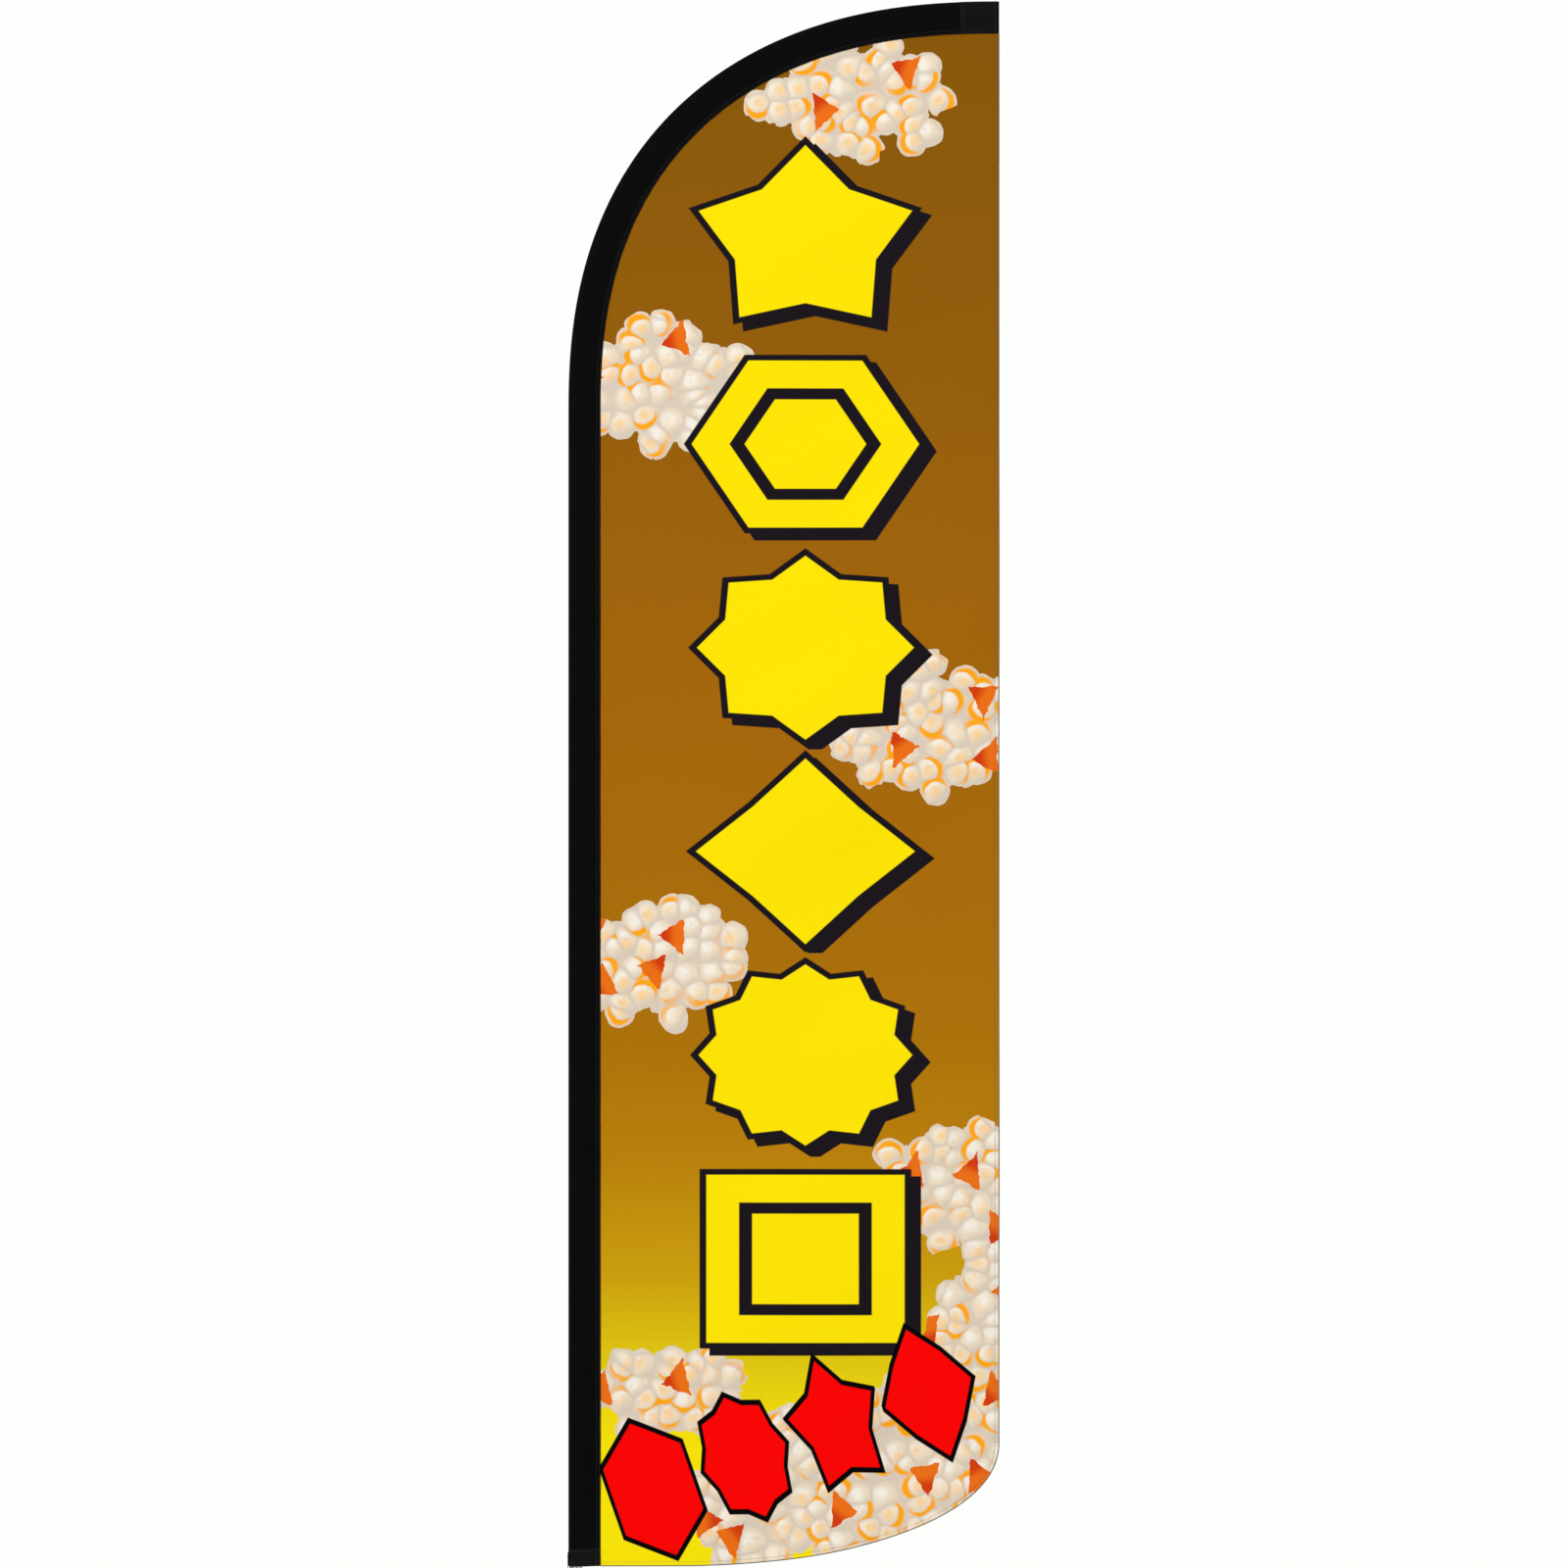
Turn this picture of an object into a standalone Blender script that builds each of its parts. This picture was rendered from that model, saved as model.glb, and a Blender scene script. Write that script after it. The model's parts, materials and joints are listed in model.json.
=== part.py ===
"""A feather flag on a five-piece pole, standing on a ground stake that lets it turn with the wind.

Metres, +Z up. The origin is on the pole's axis at ground level. The flag lies in the XZ plane, with the
pole's sleeve along its left edge and over its bowed top, and the fly edge towards +X.
"""

import math

import bmesh
import bpy
import numpy as np
from mathutils import Matrix

# ------------------------------------------------------------------ driving sizes
GAP = 0.0003  # left between two pieces that touch

# The flag
FLAG_WIDTH = 0.965
FLAG_HEIGHT = 3.505
FLAG_FOOT_Z = 0.55  # height of its lower edge above the ground
SHOULDER_HEIGHT = 0.919  # of the bowed top, above the straight part of the pole
SHOULDER_POWER = 2.35  # superellipse power: 2 is an ellipse, more is squarer
CORNER_LENGTH = 0.722  # of the rounded lower fly corner, along the foot
CORNER_HEIGHT = 0.276
CORNER_POWER = 2.1
CLOTH = 0.0010
HEM_WIDTH = 0.012
HEM_THICKNESS = 0.0020

# The sleeve that the pole goes into
SLEEVE_WIDTH = 0.072
SLEEVE_WALL = 0.0012
SLEEVE_EASE = 0.0018  # between the pole and the sleeve
SLEEVE_LEAST = 0.0002  # half the hollow's height where its two sides come together
SEAM_WIDTH = 0.012  # where the sleeve's two layers are sewn together
CUFF_HEIGHT = 0.040
CUFF_WALL = 0.0016
TIP_POCKET_LENGTH = 0.090
TIP_POCKET_END = 0.012  # solid, folded end of the pocket

# The pole
POLE_RADIUS = 0.0140
POLE_WALL = 0.0013
SPIGOT_LENGTH = 0.080  # of a section's narrowed end inside the section below it
SWAGE = 0.004  # over this height the narrowed end widens to the tube
METAL_SECTIONS = 3
ROD_LEAD = 0.150  # from the last metal section's top to where the bow starts
ROD_ROOT_RADIUS = 0.0065
ROD_TIP_RADIUS = 0.0035
TIP_SETBACK = 0.035  # of the rod's end from the fly edge
BUSH_LENGTH = 0.050
BUSH_FLANGE = 0.004
FERRULE_LENGTH = 0.090
FERRULE_WALL = 0.0010
TIP_CAP_LENGTH = 0.024
TIP_CAP_BORE = 0.015
TIP_CAP_WALL = 0.0016
TIP_CAP_ROUND = 0.0025
FOOT_RING_HEIGHT = 0.025
FOOT_RING_WALL = 0.0022
FOOT_RING_LIP = 0.002
MOULDED_CHAMFER = 0.001  # on the foot ring and the spindle's plug

# The stake
BLADE_LENGTH = 0.420
BLADE_POINT = 0.120
BLADE_WIDTH = 0.034
BLADE_THICKNESS = 0.004
BLADE_TIP = 0.001  # of each arm past the other plate's face, at the very tip
PLATE_LENGTH = 0.130
PLATE_WIDTH = 0.050
PLATE_CORNER = 0.014
PLATE_THICKNESS = 0.006
COLLAR_FLATS = 0.024
COLLAR_HEIGHT = 0.016

# The axle and its bearings
AXLE_RADIUS = 0.0040
AXLE_CHAMFER = 0.0008
STEM_RADIUS = 0.0050
SHOULDER_RING = 0.0062  # radius of the axle's seat for the lower bearing
SHOULDER_RING_HEIGHT = 0.006
BEARING_WIDTH = 0.006
RACE_WALL = 0.0011
BALL_RADIUS = 0.0011
BALL_GAP = 0.00028
BALLS = 8
CAGE_WALL = 0.0009
CAGE_HEIGHT = 0.0016
SPACER_LENGTH = 0.170
SPACER_WALL = 0.0011
WASHER_RADIUS = 0.0068
WASHER_THICKNESS = 0.0015
NUT_FLATS = 0.013
NUT_HEIGHT = 0.0068
AXLE_PROUD = 0.003  # of the axle above its nut

# The spindle that turns on the bearings and carries the pole
SPINDLE_FIT = 0.00044  # between the spindle and the pole's bore
SPINDLE_FLANGE_MARGIN = 0.005  # of the seat past the pole's own radius
SPINDLE_FLANGE_HEIGHT = 0.006
SPINDLE_HEADROOM = 0.016  # from the nut's top to the spindle's top
PLUG_DEPTH = 0.010
PLUG_HEAD = 0.003
SEAL_HEIGHT = 0.0048
SEAL_EASE = 0.0004
CUSHION_THICKNESS = 0.003
CUSHION_SETBACK = 0.001  # of its rim from the flange's
RING_SECTION = 0.0005  # radius of each grip ring's round section
RING_GROOVE_WIDTH = 0.0020
RING_INSET = 0.030  # of each grip ring from the ends of the part of the spindle that the pole covers

# The strap that holds the sleeve down, and its clip
STRAP_WIDTH = 0.016
STRAP_THICKNESS = 0.0012
STRAP_LAP = 0.030  # sewn over the cuff
STRAP_DROP = 0.065  # from the flag's foot to the eyelet's middle
EYELET_BORE = 0.0036
EYELET_BARREL = 0.0009
EYELET_RIM = 0.0066
EYELET_SHEET = 0.0007
CLIP_WALL = 0.0017
CLIP_HEIGHT = 0.020
CLIP_MOUTH = 0.017  # gap that lets it spring over the pole
CUTTER_MARGIN = 0.010  # of a cutter past what it cuts
PEG_EASE = 0.0004
PEG_HEAD = 0.0015

ROUND = 28  # sides of the pole and the spindle
SMALL_ROUND = 20
NOSE_SIDES = 8
TAIL_SIDES = 6
BOW_STATIONS = 26

# ------------------------------------------------------------------ places worked out from them
NOSE = POLE_RADIUS + SLEEVE_EASE + SLEEVE_WALL  # from the sleeve's outer edge to the pole's axis
LUFF_X = -NOSE
FLY_X = LUFF_X + FLAG_WIDTH
SEAM_X = LUFF_X + SLEEVE_WIDTH
FLAG_TOP_Z = FLAG_FOOT_Z + FLAG_HEIGHT
SPRING_Z = FLAG_TOP_Z - SHOULDER_HEIGHT  # where the bow starts
METAL_TOP_Z = SPRING_Z - ROD_LEAD

COLLAR_Z = PLATE_THICKNESS + GAP
SHOULDER_Z = COLLAR_Z + COLLAR_HEIGHT + GAP
LOWER_BEARING_Z = SHOULDER_Z + SHOULDER_RING_HEIGHT + GAP
SPACER_Z = LOWER_BEARING_Z + BEARING_WIDTH + GAP
UPPER_BEARING_Z = SPACER_Z + SPACER_LENGTH + GAP
WASHER_Z = UPPER_BEARING_Z + BEARING_WIDTH + GAP
NUT_Z = WASHER_Z + WASHER_THICKNESS + GAP
AXLE_TOP_Z = NUT_Z + NUT_HEIGHT + AXLE_PROUD

INNER_RACE = AXLE_RADIUS + GAP
BALL_PITCH = INNER_RACE + RACE_WALL + BALL_GAP + BALL_RADIUS
OUTER_RACE = BALL_PITCH + BALL_RADIUS + BALL_GAP
POLE_BORE = POLE_RADIUS - POLE_WALL
SPINDLE_BORE = OUTER_RACE + RACE_WALL + GAP
SPINDLE_RADIUS = POLE_BORE - SPINDLE_FIT
SPINDLE_FLANGE = POLE_RADIUS + SPINDLE_FLANGE_MARGIN
SPINDLE_Z = SHOULDER_Z + SHOULDER_RING_HEIGHT - SEAL_HEIGHT - GAP
SPINDLE_SEAT_Z = SPINDLE_Z + SPINDLE_FLANGE_HEIGHT
SPINDLE_TOP_Z = NUT_Z + NUT_HEIGHT + SPINDLE_HEADROOM
CUSHION_Z = SPINDLE_SEAT_Z + GAP
FOOT_RING_Z = CUSHION_Z + CUSHION_THICKNESS + GAP
POLE_FOOT_Z = FOOT_RING_Z + FOOT_RING_LIP + GAP
SECTION_PITCH = (METAL_TOP_Z - POLE_FOOT_Z) / METAL_SECTIONS
STRAP_X = LUFF_X - GAP - STRAP_THICKNESS / 2
EYELET_Z = FLAG_FOOT_Z - STRAP_DROP


# ------------------------------------------------------------------ scene and materials
def clear_scene():
    for thing in list(bpy.data.objects):
        bpy.data.objects.remove(thing, do_unlink=True)


def collection(name):
    made = bpy.data.collections.new(name)
    bpy.context.scene.collection.children.link(made)
    return made


clear_scene()
PARTS = collection("feather_flag_with_pole")
CUTTERS = collection("cutters")


def material(name, colour, roughness, metallic=0.0):
    made = bpy.data.materials.new(name)
    made.use_nodes = True
    shader = made.node_tree.nodes["Principled BSDF"]
    shader.inputs["Base Color"].default_value = (*colour, 1.0)
    shader.inputs["Roughness"].default_value = roughness
    shader.inputs["Metallic"].default_value = metallic
    made.diffuse_color = (*colour, 1.0)
    return made


ZINC = material("zinc_plated_steel", (0.55, 0.55, 0.56), 0.38, 1.0)
BEARING_STEEL = material("bearing_steel", (0.62, 0.62, 0.64), 0.18, 1.0)
ALUMINIUM = material("anodised_aluminium", (0.72, 0.73, 0.75), 0.32, 1.0)
FIBREGLASS = material("black_fibreglass", (0.02, 0.02, 0.022), 0.42)
BLACK_PLASTIC = material("black_nylon", (0.018, 0.018, 0.02), 0.48)
RUBBER = material("black_rubber", (0.012, 0.012, 0.012), 0.75)
BRASS = material("brass", (0.78, 0.57, 0.22), 0.3, 1.0)
BLACK_CLOTH = material("black_sleeve_cloth", (0.008, 0.008, 0.009), 0.85)
PRINTED_CLOTH = material("printed_polyester", (0.42, 0.17, 0.008), 0.8)
HEM_CLOTH = material("hem_cloth", (0.30, 0.20, 0.05), 0.8)
ELASTIC = material("black_elastic", (0.02, 0.02, 0.02), 0.8)


def frame(name, parent=None):
    """An empty on the pole's axis, which every joint runs along. The pieces of one body hang from it."""
    made = bpy.data.objects.new(name, None)
    made.parent = parent
    PARTS.objects.link(made)
    return made


STAKE_FRAME = frame("stake_frame")
SPINDLE_FRAME = frame("spindle_axis", STAKE_FRAME)
LOWER_CAGE_FRAME = frame("lower_cage_axis", STAKE_FRAME)
UPPER_CAGE_FRAME = frame("upper_cage_axis", STAKE_FRAME)
LOWER_POLE_FRAME = frame("lower_pole_axis", SPINDLE_FRAME)
FLAG_FRAME = frame("flag_axis", LOWER_POLE_FRAME)
CLIP_FRAME = frame("clip_axis", FLAG_FRAME)


# ------------------------------------------------------------------ shape helpers
def finish(thing, parent, finish_material, smooth_angle=35):
    """Puts a piece in the collection, under its body's empty, with its material and its shading."""
    PARTS.objects.link(thing)
    thing.parent = parent
    thing.data.materials.append(finish_material)
    if thing.type == "MESH":
        thing.data.shade_smooth()
        thing.data.set_sharp_from_angle(angle=math.radians(smooth_angle))
    return thing


def cutter(thing):
    CUTTERS.objects.link(thing)
    thing.hide_render = True
    thing.display_type = "WIRE"
    return thing


def boolean(thing, other, operation):
    made = thing.modifiers.new(f"{operation.lower()} {other.name}", "BOOLEAN")
    made.operation = operation
    made.object = cutter(other)


def turned(name, profile, parent, finish_material, sides=ROUND, closed=True):
    """A turned piece: (radius, z) points down its outer side. A closed profile is a ring or a tube; an open
    one starts and ends on the axis."""
    mesh = bpy.data.meshes.new(name)
    edges = [(i, i + 1) for i in range(len(profile) - 1)]
    if closed:
        edges.append((len(profile) - 1, 0))
    mesh.from_pydata([(radius, 0.0, z) for radius, z in profile], edges, [])
    thing = bpy.data.objects.new(name, mesh)
    screw = thing.modifiers.new("turn", "SCREW")
    screw.axis = "Z"
    screw.steps = screw.render_steps = sides
    screw.use_merge_vertices = True
    screw.merge_threshold = 1e-6
    screw.use_smooth_shade = True
    return finish(thing, parent, finish_material)


def ring(name, inner, outer, low, high, parent, finish_material, sides=ROUND):
    """A plain turned ring or tube."""
    profile = [(outer, high), (outer, low), (inner, low), (inner, high)]
    return turned(name, profile, parent, finish_material, sides)


def circle(radius, sides, phase=0.0):
    angles = phase + 2 * np.pi * np.arange(sides) / sides
    return np.stack([radius * np.cos(angles), radius * np.sin(angles)], axis=1)


def hexagon(flats):
    return circle(flats / math.sqrt(3), 6)


def rounded_rectangle(length, width, corner, steps=6):
    points = []
    for quarter, (side_x, side_y) in enumerate(((1, 1), (-1, 1), (-1, -1), (1, -1))):
        centre = (side_x * (length / 2 - corner), side_y * (width / 2 - corner))
        for angle in np.pi / 2 * (quarter + np.arange(steps + 1) / steps):
            points.append((centre[0] + corner * math.cos(angle), centre[1] + corner * math.sin(angle)))
    return points


def slab(name, outlines, thickness, matrix=None):
    """A flat outline, with any holes, given a thickness either side of its plane. It isn't linked yet."""
    data = bpy.data.curves.new(name, "CURVE")
    data.dimensions = "2D"
    data.fill_mode = "BOTH"
    data.extrude = thickness / 2
    for outline in outlines:
        spline = data.splines.new("POLY")
        spline.points.add(len(outline) - 1)
        for point, (x, y) in zip(spline.points, outline):
            point.co = (x, y, 0.0, 1.0)
        spline.use_cyclic_u = True
    drawn = bpy.data.objects.new(name + "_outline", data)
    bpy.context.scene.collection.objects.link(drawn)
    graph = bpy.context.evaluated_depsgraph_get()
    mesh = bpy.data.meshes.new_from_object(drawn.evaluated_get(graph))
    bpy.data.objects.remove(drawn)
    work = bmesh.new()
    work.from_mesh(mesh)
    bmesh.ops.remove_doubles(work, verts=work.verts, dist=1e-6)
    bmesh.ops.transform(work, matrix=matrix or Matrix.Identity(4), verts=work.verts)
    bmesh.ops.recalc_face_normals(work, faces=work.faces)
    work.to_mesh(mesh)
    work.free()
    mesh.materials.clear()
    mesh.name = name
    return bpy.data.objects.new(name, mesh)


def level(low, thickness):
    """Places a slab's outline, drawn in XY, so that its lower face is at this height."""
    return Matrix.Translation((0, 0, low + thickness / 2))


UPRIGHT = Matrix.Rotation(math.radians(90), 4, "X")  # an outline's Y becomes Z


def drawn_cylinder(name, radius, length, matrix, sides=SMALL_ROUND):
    mesh = bpy.data.meshes.new(name)
    work = bmesh.new()
    bmesh.ops.create_cone(
        work, cap_ends=True, segments=sides, radius1=radius, radius2=radius, depth=length, matrix=matrix
    )
    work.to_mesh(mesh)
    work.free()
    return bpy.data.objects.new(name, mesh)


def drawn_box(name, low, high):
    mesh = bpy.data.meshes.new(name)
    work = bmesh.new()
    size = np.subtract(high, low)
    middle = np.add(high, low) / 2
    bmesh.ops.create_cube(work, size=1.0, matrix=Matrix.Translation(middle) @ Matrix.Diagonal((*size, 1.0)))
    work.to_mesh(mesh)
    work.free()
    return bpy.data.objects.new(name, mesh)


def lofted(name, rings, parent, finish_material, endless=False, smooth_angle=35):
    """Skins a run of rings of equal point counts. An endless run closes on its first ring, as a tube's wall
    does when it goes up the outside and back down the inside; any other run is capped at both ends."""
    mesh = bpy.data.meshes.new(name)
    work = bmesh.new()
    rows = [[work.verts.new(point) for point in ring_points] for ring_points in rings]
    pairs = list(zip(rows, rows[1:]))
    if endless:
        pairs.append((rows[-1], rows[0]))
    for first, second in pairs:
        count = len(first)
        for i in range(count):
            j = (i + 1) % count
            work.faces.new((first[i], first[j], second[j], second[i]))
    if not endless:
        work.faces.new(rows[0])
        work.faces.new(rows[-1])
    bmesh.ops.recalc_face_normals(work, faces=work.faces)
    bmesh.ops.triangulate(work, faces=[face for face in work.faces if len(face.verts) > 4])
    work.to_mesh(mesh)
    work.free()
    return finish(bpy.data.objects.new(name, mesh), parent, finish_material, smooth_angle)


# ------------------------------------------------------------------ the flag's outline
def superellipse(centre, reach, power, inset=0.0, steps=400):
    """A quarter superellipse's points (x, z), from its end in x to its end in z, moved in by the inset."""
    angles = np.linspace(0, np.pi / 2, steps)
    across, up = np.cos(angles) ** (2 / power), np.sin(angles) ** (2 / power)
    normal = np.stack([across ** (power - 1) / reach[0], up ** (power - 1) / reach[1]], axis=1)
    normal /= np.linalg.norm(normal, axis=1, keepdims=True)
    points = np.array(centre) + np.stack([reach[0] * across, reach[1] * up], axis=1)
    return points - inset * normal


def even(points, count):
    """That many points along the same line, evenly spaced."""
    run = np.concatenate([[0], np.cumsum(np.linalg.norm(np.diff(points, axis=0), axis=1))])
    places = np.linspace(0, run[-1], count)
    return np.stack([np.interp(places, run, points[:, axis]) for axis in (0, 1)], axis=1)


def shoulder(inset=0.0):
    return superellipse((FLY_X, SPRING_Z), (-FLAG_WIDTH, SHOULDER_HEIGHT), SHOULDER_POWER, inset)


def foot_corner(inset=0.0):
    centre = (FLY_X - CORNER_LENGTH, FLAG_FOOT_Z + CORNER_HEIGHT)
    return superellipse(centre, (CORNER_LENGTH, -CORNER_HEIGHT), CORNER_POWER, inset)


BOW = shoulder()
BOW_RUN = SPRING_Z + np.concatenate([[0], np.cumsum(np.linalg.norm(np.diff(BOW, axis=0), axis=1))])
RUN_END = BOW_RUN[-1]


def edge(run):
    """(point, inward direction) on the flag's outer edge. The run is the height up to the bow, and then the
    length along it."""
    if run <= SPRING_Z:
        return np.array([LUFF_X, run]), np.array([1.0, 0.0])
    point = np.array([np.interp(run, BOW_RUN, BOW[:, axis]) for axis in (0, 1)])
    across = (FLY_X - point[0]) / FLAG_WIDTH
    up = (point[1] - SPRING_Z) / SHOULDER_HEIGHT
    inward_x = across ** (SHOULDER_POWER - 1) / FLAG_WIDTH
    inward_z = -(up ** (SHOULDER_POWER - 1)) / SHOULDER_HEIGHT
    return point, np.array([inward_x, inward_z]) / math.hypot(inward_x, inward_z)


def across_edge(run, section):
    """Places a section's (u, v) points square to the edge: u inwards from the edge, v along Y."""
    point, inward = edge(run)
    return [(point[0] + u * inward[0], v, point[1] + u * inward[1]) for u, v in section]


def stations(low, high):
    """Runs at which a swept piece gets a ring: few up the straight pole, even ones round the bow."""
    spacing = (RUN_END - SPRING_Z) / BOW_STATIONS
    straight = [low, METAL_TOP_Z, METAL_TOP_Z + ROD_LEAD / 2, SPRING_Z]
    bowed = SPRING_Z + spacing * np.arange(1, BOW_STATIONS)
    inside = [run for run in (*straight, *bowed) if low + spacing / 4 < run < high - spacing / 4]
    return [low, *inside, high]


# ------------------------------------------------------------------ the stake
def cross(reach, z):
    """The outline of two crossed plates, their arms reaching this far from the axis."""
    half = BLADE_THICKNESS / 2
    corner = [(reach, -half), (reach, half), (half, half)]
    turns = [((x, y), (-y, x), (-x, -y), (y, -x)) for x, y in corner]
    return [(*turns[point][quarter], z) for quarter in range(4) for point in range(3)]


def stake_blade():
    half = BLADE_WIDTH / 2
    tip = BLADE_THICKNESS / 2 + BLADE_TIP
    heights = [(half, -GAP), (half, BLADE_POINT - BLADE_LENGTH), (tip, -BLADE_LENGTH)]
    lofted("stake_blade", [cross(reach, z) for reach, z in heights], STAKE_FRAME, ZINC)


def stake():
    stake_blade()
    bore = circle(STEM_RADIUS + GAP, SMALL_ROUND)
    plate_outline = rounded_rectangle(PLATE_LENGTH, PLATE_WIDTH, PLATE_CORNER)
    plate = slab("foot_plate", [plate_outline, bore], PLATE_THICKNESS, level(0.0, PLATE_THICKNESS))
    finish(plate, STAKE_FRAME, ZINC)
    collar_place = level(COLLAR_Z, COLLAR_HEIGHT)
    collar = slab("stake_collar", [hexagon(COLLAR_FLATS), bore], COLLAR_HEIGHT, collar_place)
    finish(collar, STAKE_FRAME, ZINC)


def axle():
    seat_top = SHOULDER_Z + SHOULDER_RING_HEIGHT
    profile = [
        (0.0, AXLE_TOP_Z),
        (AXLE_RADIUS - AXLE_CHAMFER, AXLE_TOP_Z),
        (AXLE_RADIUS, AXLE_TOP_Z - AXLE_CHAMFER),
        (AXLE_RADIUS, seat_top),
        (SHOULDER_RING, seat_top),
        (SHOULDER_RING, SHOULDER_Z),
        (STEM_RADIUS, SHOULDER_Z),
        (STEM_RADIUS, GAP),
        (0.0, GAP),
    ]
    turned("axle", profile, STAKE_FRAME, ZINC, SMALL_ROUND, closed=False)


def ball_cage(name, low, parent):
    """The cage's ring with its balls, joined, because they go round together."""
    middle = low + BEARING_WIDTH / 2
    inner, outer = BALL_PITCH - CAGE_WALL / 2, BALL_PITCH + CAGE_WALL / 2
    low, high = middle - CAGE_HEIGHT / 2, middle + CAGE_HEIGHT / 2
    cage = ring(name, inner, outer, low, high, parent, BEARING_STEEL, 2 * BALLS)
    mesh = bpy.data.meshes.new(name + "_balls")
    work = bmesh.new()
    for x, y in circle(BALL_PITCH, BALLS):
        place = Matrix.Translation((x, y, middle))
        bmesh.ops.create_icosphere(work, subdivisions=2, radius=BALL_RADIUS, matrix=place)
    work.to_mesh(mesh)
    work.free()
    boolean(cage, bpy.data.objects.new(name + "_balls", mesh), "UNION")


def bearing(name, low, cage_parent):
    high = low + BEARING_WIDTH
    ring(f"{name}_inner_race", INNER_RACE, INNER_RACE + RACE_WALL, low, high, STAKE_FRAME, BEARING_STEEL)
    ring(f"{name}_outer_race", OUTER_RACE, OUTER_RACE + RACE_WALL, low, high, SPINDLE_FRAME, BEARING_STEEL)
    ball_cage(f"{name}_ball_cage", low, cage_parent)


def axle_fittings():
    bearing("lower", LOWER_BEARING_Z, LOWER_CAGE_FRAME)
    bearing("upper", UPPER_BEARING_Z, UPPER_CAGE_FRAME)
    bore = AXLE_RADIUS + GAP
    outer, top = bore + SPACER_WALL, SPACER_Z + SPACER_LENGTH
    ring("bearing_spacer", bore, outer, SPACER_Z, top, STAKE_FRAME, ALUMINIUM, SMALL_ROUND)
    washer_top = WASHER_Z + WASHER_THICKNESS
    ring("axle_washer", bore, WASHER_RADIUS, WASHER_Z, washer_top, STAKE_FRAME, ZINC, SMALL_ROUND)
    outlines = [hexagon(NUT_FLATS), circle(bore, SMALL_ROUND)]
    nut = slab("axle_nut", outlines, NUT_HEIGHT, level(NUT_Z, NUT_HEIGHT))
    finish(nut, STAKE_FRAME, ZINC)


# ------------------------------------------------------------------ the spindle
def grip_ring_places():
    return FOOT_RING_Z + RING_INSET, SPINDLE_TOP_Z - RING_INSET


def spindle():
    groove_floor = SPINDLE_RADIUS - 2 * RING_SECTION - GAP
    profile = [(SPINDLE_RADIUS, SPINDLE_TOP_Z)]
    for place in reversed(grip_ring_places()):
        high, low = place + RING_GROOVE_WIDTH / 2, place - RING_GROOVE_WIDTH / 2
        profile += [(SPINDLE_RADIUS, high), (groove_floor, high), (groove_floor, low), (SPINDLE_RADIUS, low)]
    profile += [
        (SPINDLE_RADIUS, SPINDLE_SEAT_Z),
        (SPINDLE_FLANGE, SPINDLE_SEAT_Z),
        (SPINDLE_FLANGE, SPINDLE_Z),
        (SPINDLE_BORE, SPINDLE_Z),
        (SPINDLE_BORE, SPINDLE_TOP_Z),
    ]
    turned("spindle", profile, SPINDLE_FRAME, ZINC)


def grip_rings():
    pitch = SPINDLE_RADIUS - RING_SECTION
    for name, place in zip(("lower_grip_ring", "upper_grip_ring"), grip_ring_places()):
        section = circle(RING_SECTION, 6)[::-1]
        profile = [(pitch + x, place + z) for x, z in section]
        turned(name, profile, SPINDLE_FRAME, RUBBER)


def spindle_fittings():
    seal_bore = SHOULDER_RING + SEAL_EASE
    seal_low = SPINDLE_Z + GAP / 2
    seal_high = seal_low + SEAL_HEIGHT - GAP
    ring("dust_seal", seal_bore, SPINDLE_BORE - GAP, seal_low, seal_high, SPINDLE_FRAME, RUBBER)
    plug = SPINDLE_BORE - GAP
    head = SPINDLE_TOP_Z + GAP
    chamfer = MOULDED_CHAMFER
    profile = [
        (0.0, head + PLUG_HEAD),
        (SPINDLE_RADIUS - 2 * chamfer, head + PLUG_HEAD),
        (SPINDLE_RADIUS - chamfer, head + PLUG_HEAD - chamfer),
        (SPINDLE_RADIUS - chamfer, head),
        (plug, head),
        (plug, SPINDLE_TOP_Z - PLUG_DEPTH + chamfer),
        (plug - chamfer, SPINDLE_TOP_Z - PLUG_DEPTH),
        (0.0, SPINDLE_TOP_Z - PLUG_DEPTH),
    ]
    turned("spindle_plug", profile, SPINDLE_FRAME, BLACK_PLASTIC, closed=False)
    bore = SPINDLE_RADIUS + GAP
    rim = SPINDLE_FLANGE - CUSHION_SETBACK
    ring("pole_cushion", bore, rim, CUSHION_Z, CUSHION_Z + CUSHION_THICKNESS, SPINDLE_FRAME, RUBBER)
    grip_rings()


# ------------------------------------------------------------------ the pole
def pole_foot_ring():
    outer = POLE_RADIUS + GAP + FOOT_RING_WALL
    top = FOOT_RING_Z + FOOT_RING_HEIGHT
    chamfer = MOULDED_CHAMFER
    profile = [
        (outer - chamfer, top),
        (outer, top - chamfer),
        (outer, FOOT_RING_Z + chamfer),
        (outer - chamfer, FOOT_RING_Z),
        (POLE_BORE, FOOT_RING_Z),
        (POLE_BORE, FOOT_RING_Z + FOOT_RING_LIP),
        (POLE_RADIUS + GAP, FOOT_RING_Z + FOOT_RING_LIP),
        (POLE_RADIUS + GAP, top),
    ]
    turned("pole_foot_ring", profile, LOWER_POLE_FRAME, BLACK_PLASTIC)


def section_profile(low, high):
    """A metal section with its lower end narrowed to go into the section below."""
    spigot = POLE_BORE - GAP
    narrow = spigot - POLE_WALL
    return [
        (POLE_RADIUS, high),
        (POLE_RADIUS, low),
        (spigot, low),
        (spigot, low - SPIGOT_LENGTH),
        (narrow, low - SPIGOT_LENGTH),
        (narrow, low + SWAGE),
        (POLE_BORE, low + 2 * SWAGE),
        (POLE_BORE, high),
    ]


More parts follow.
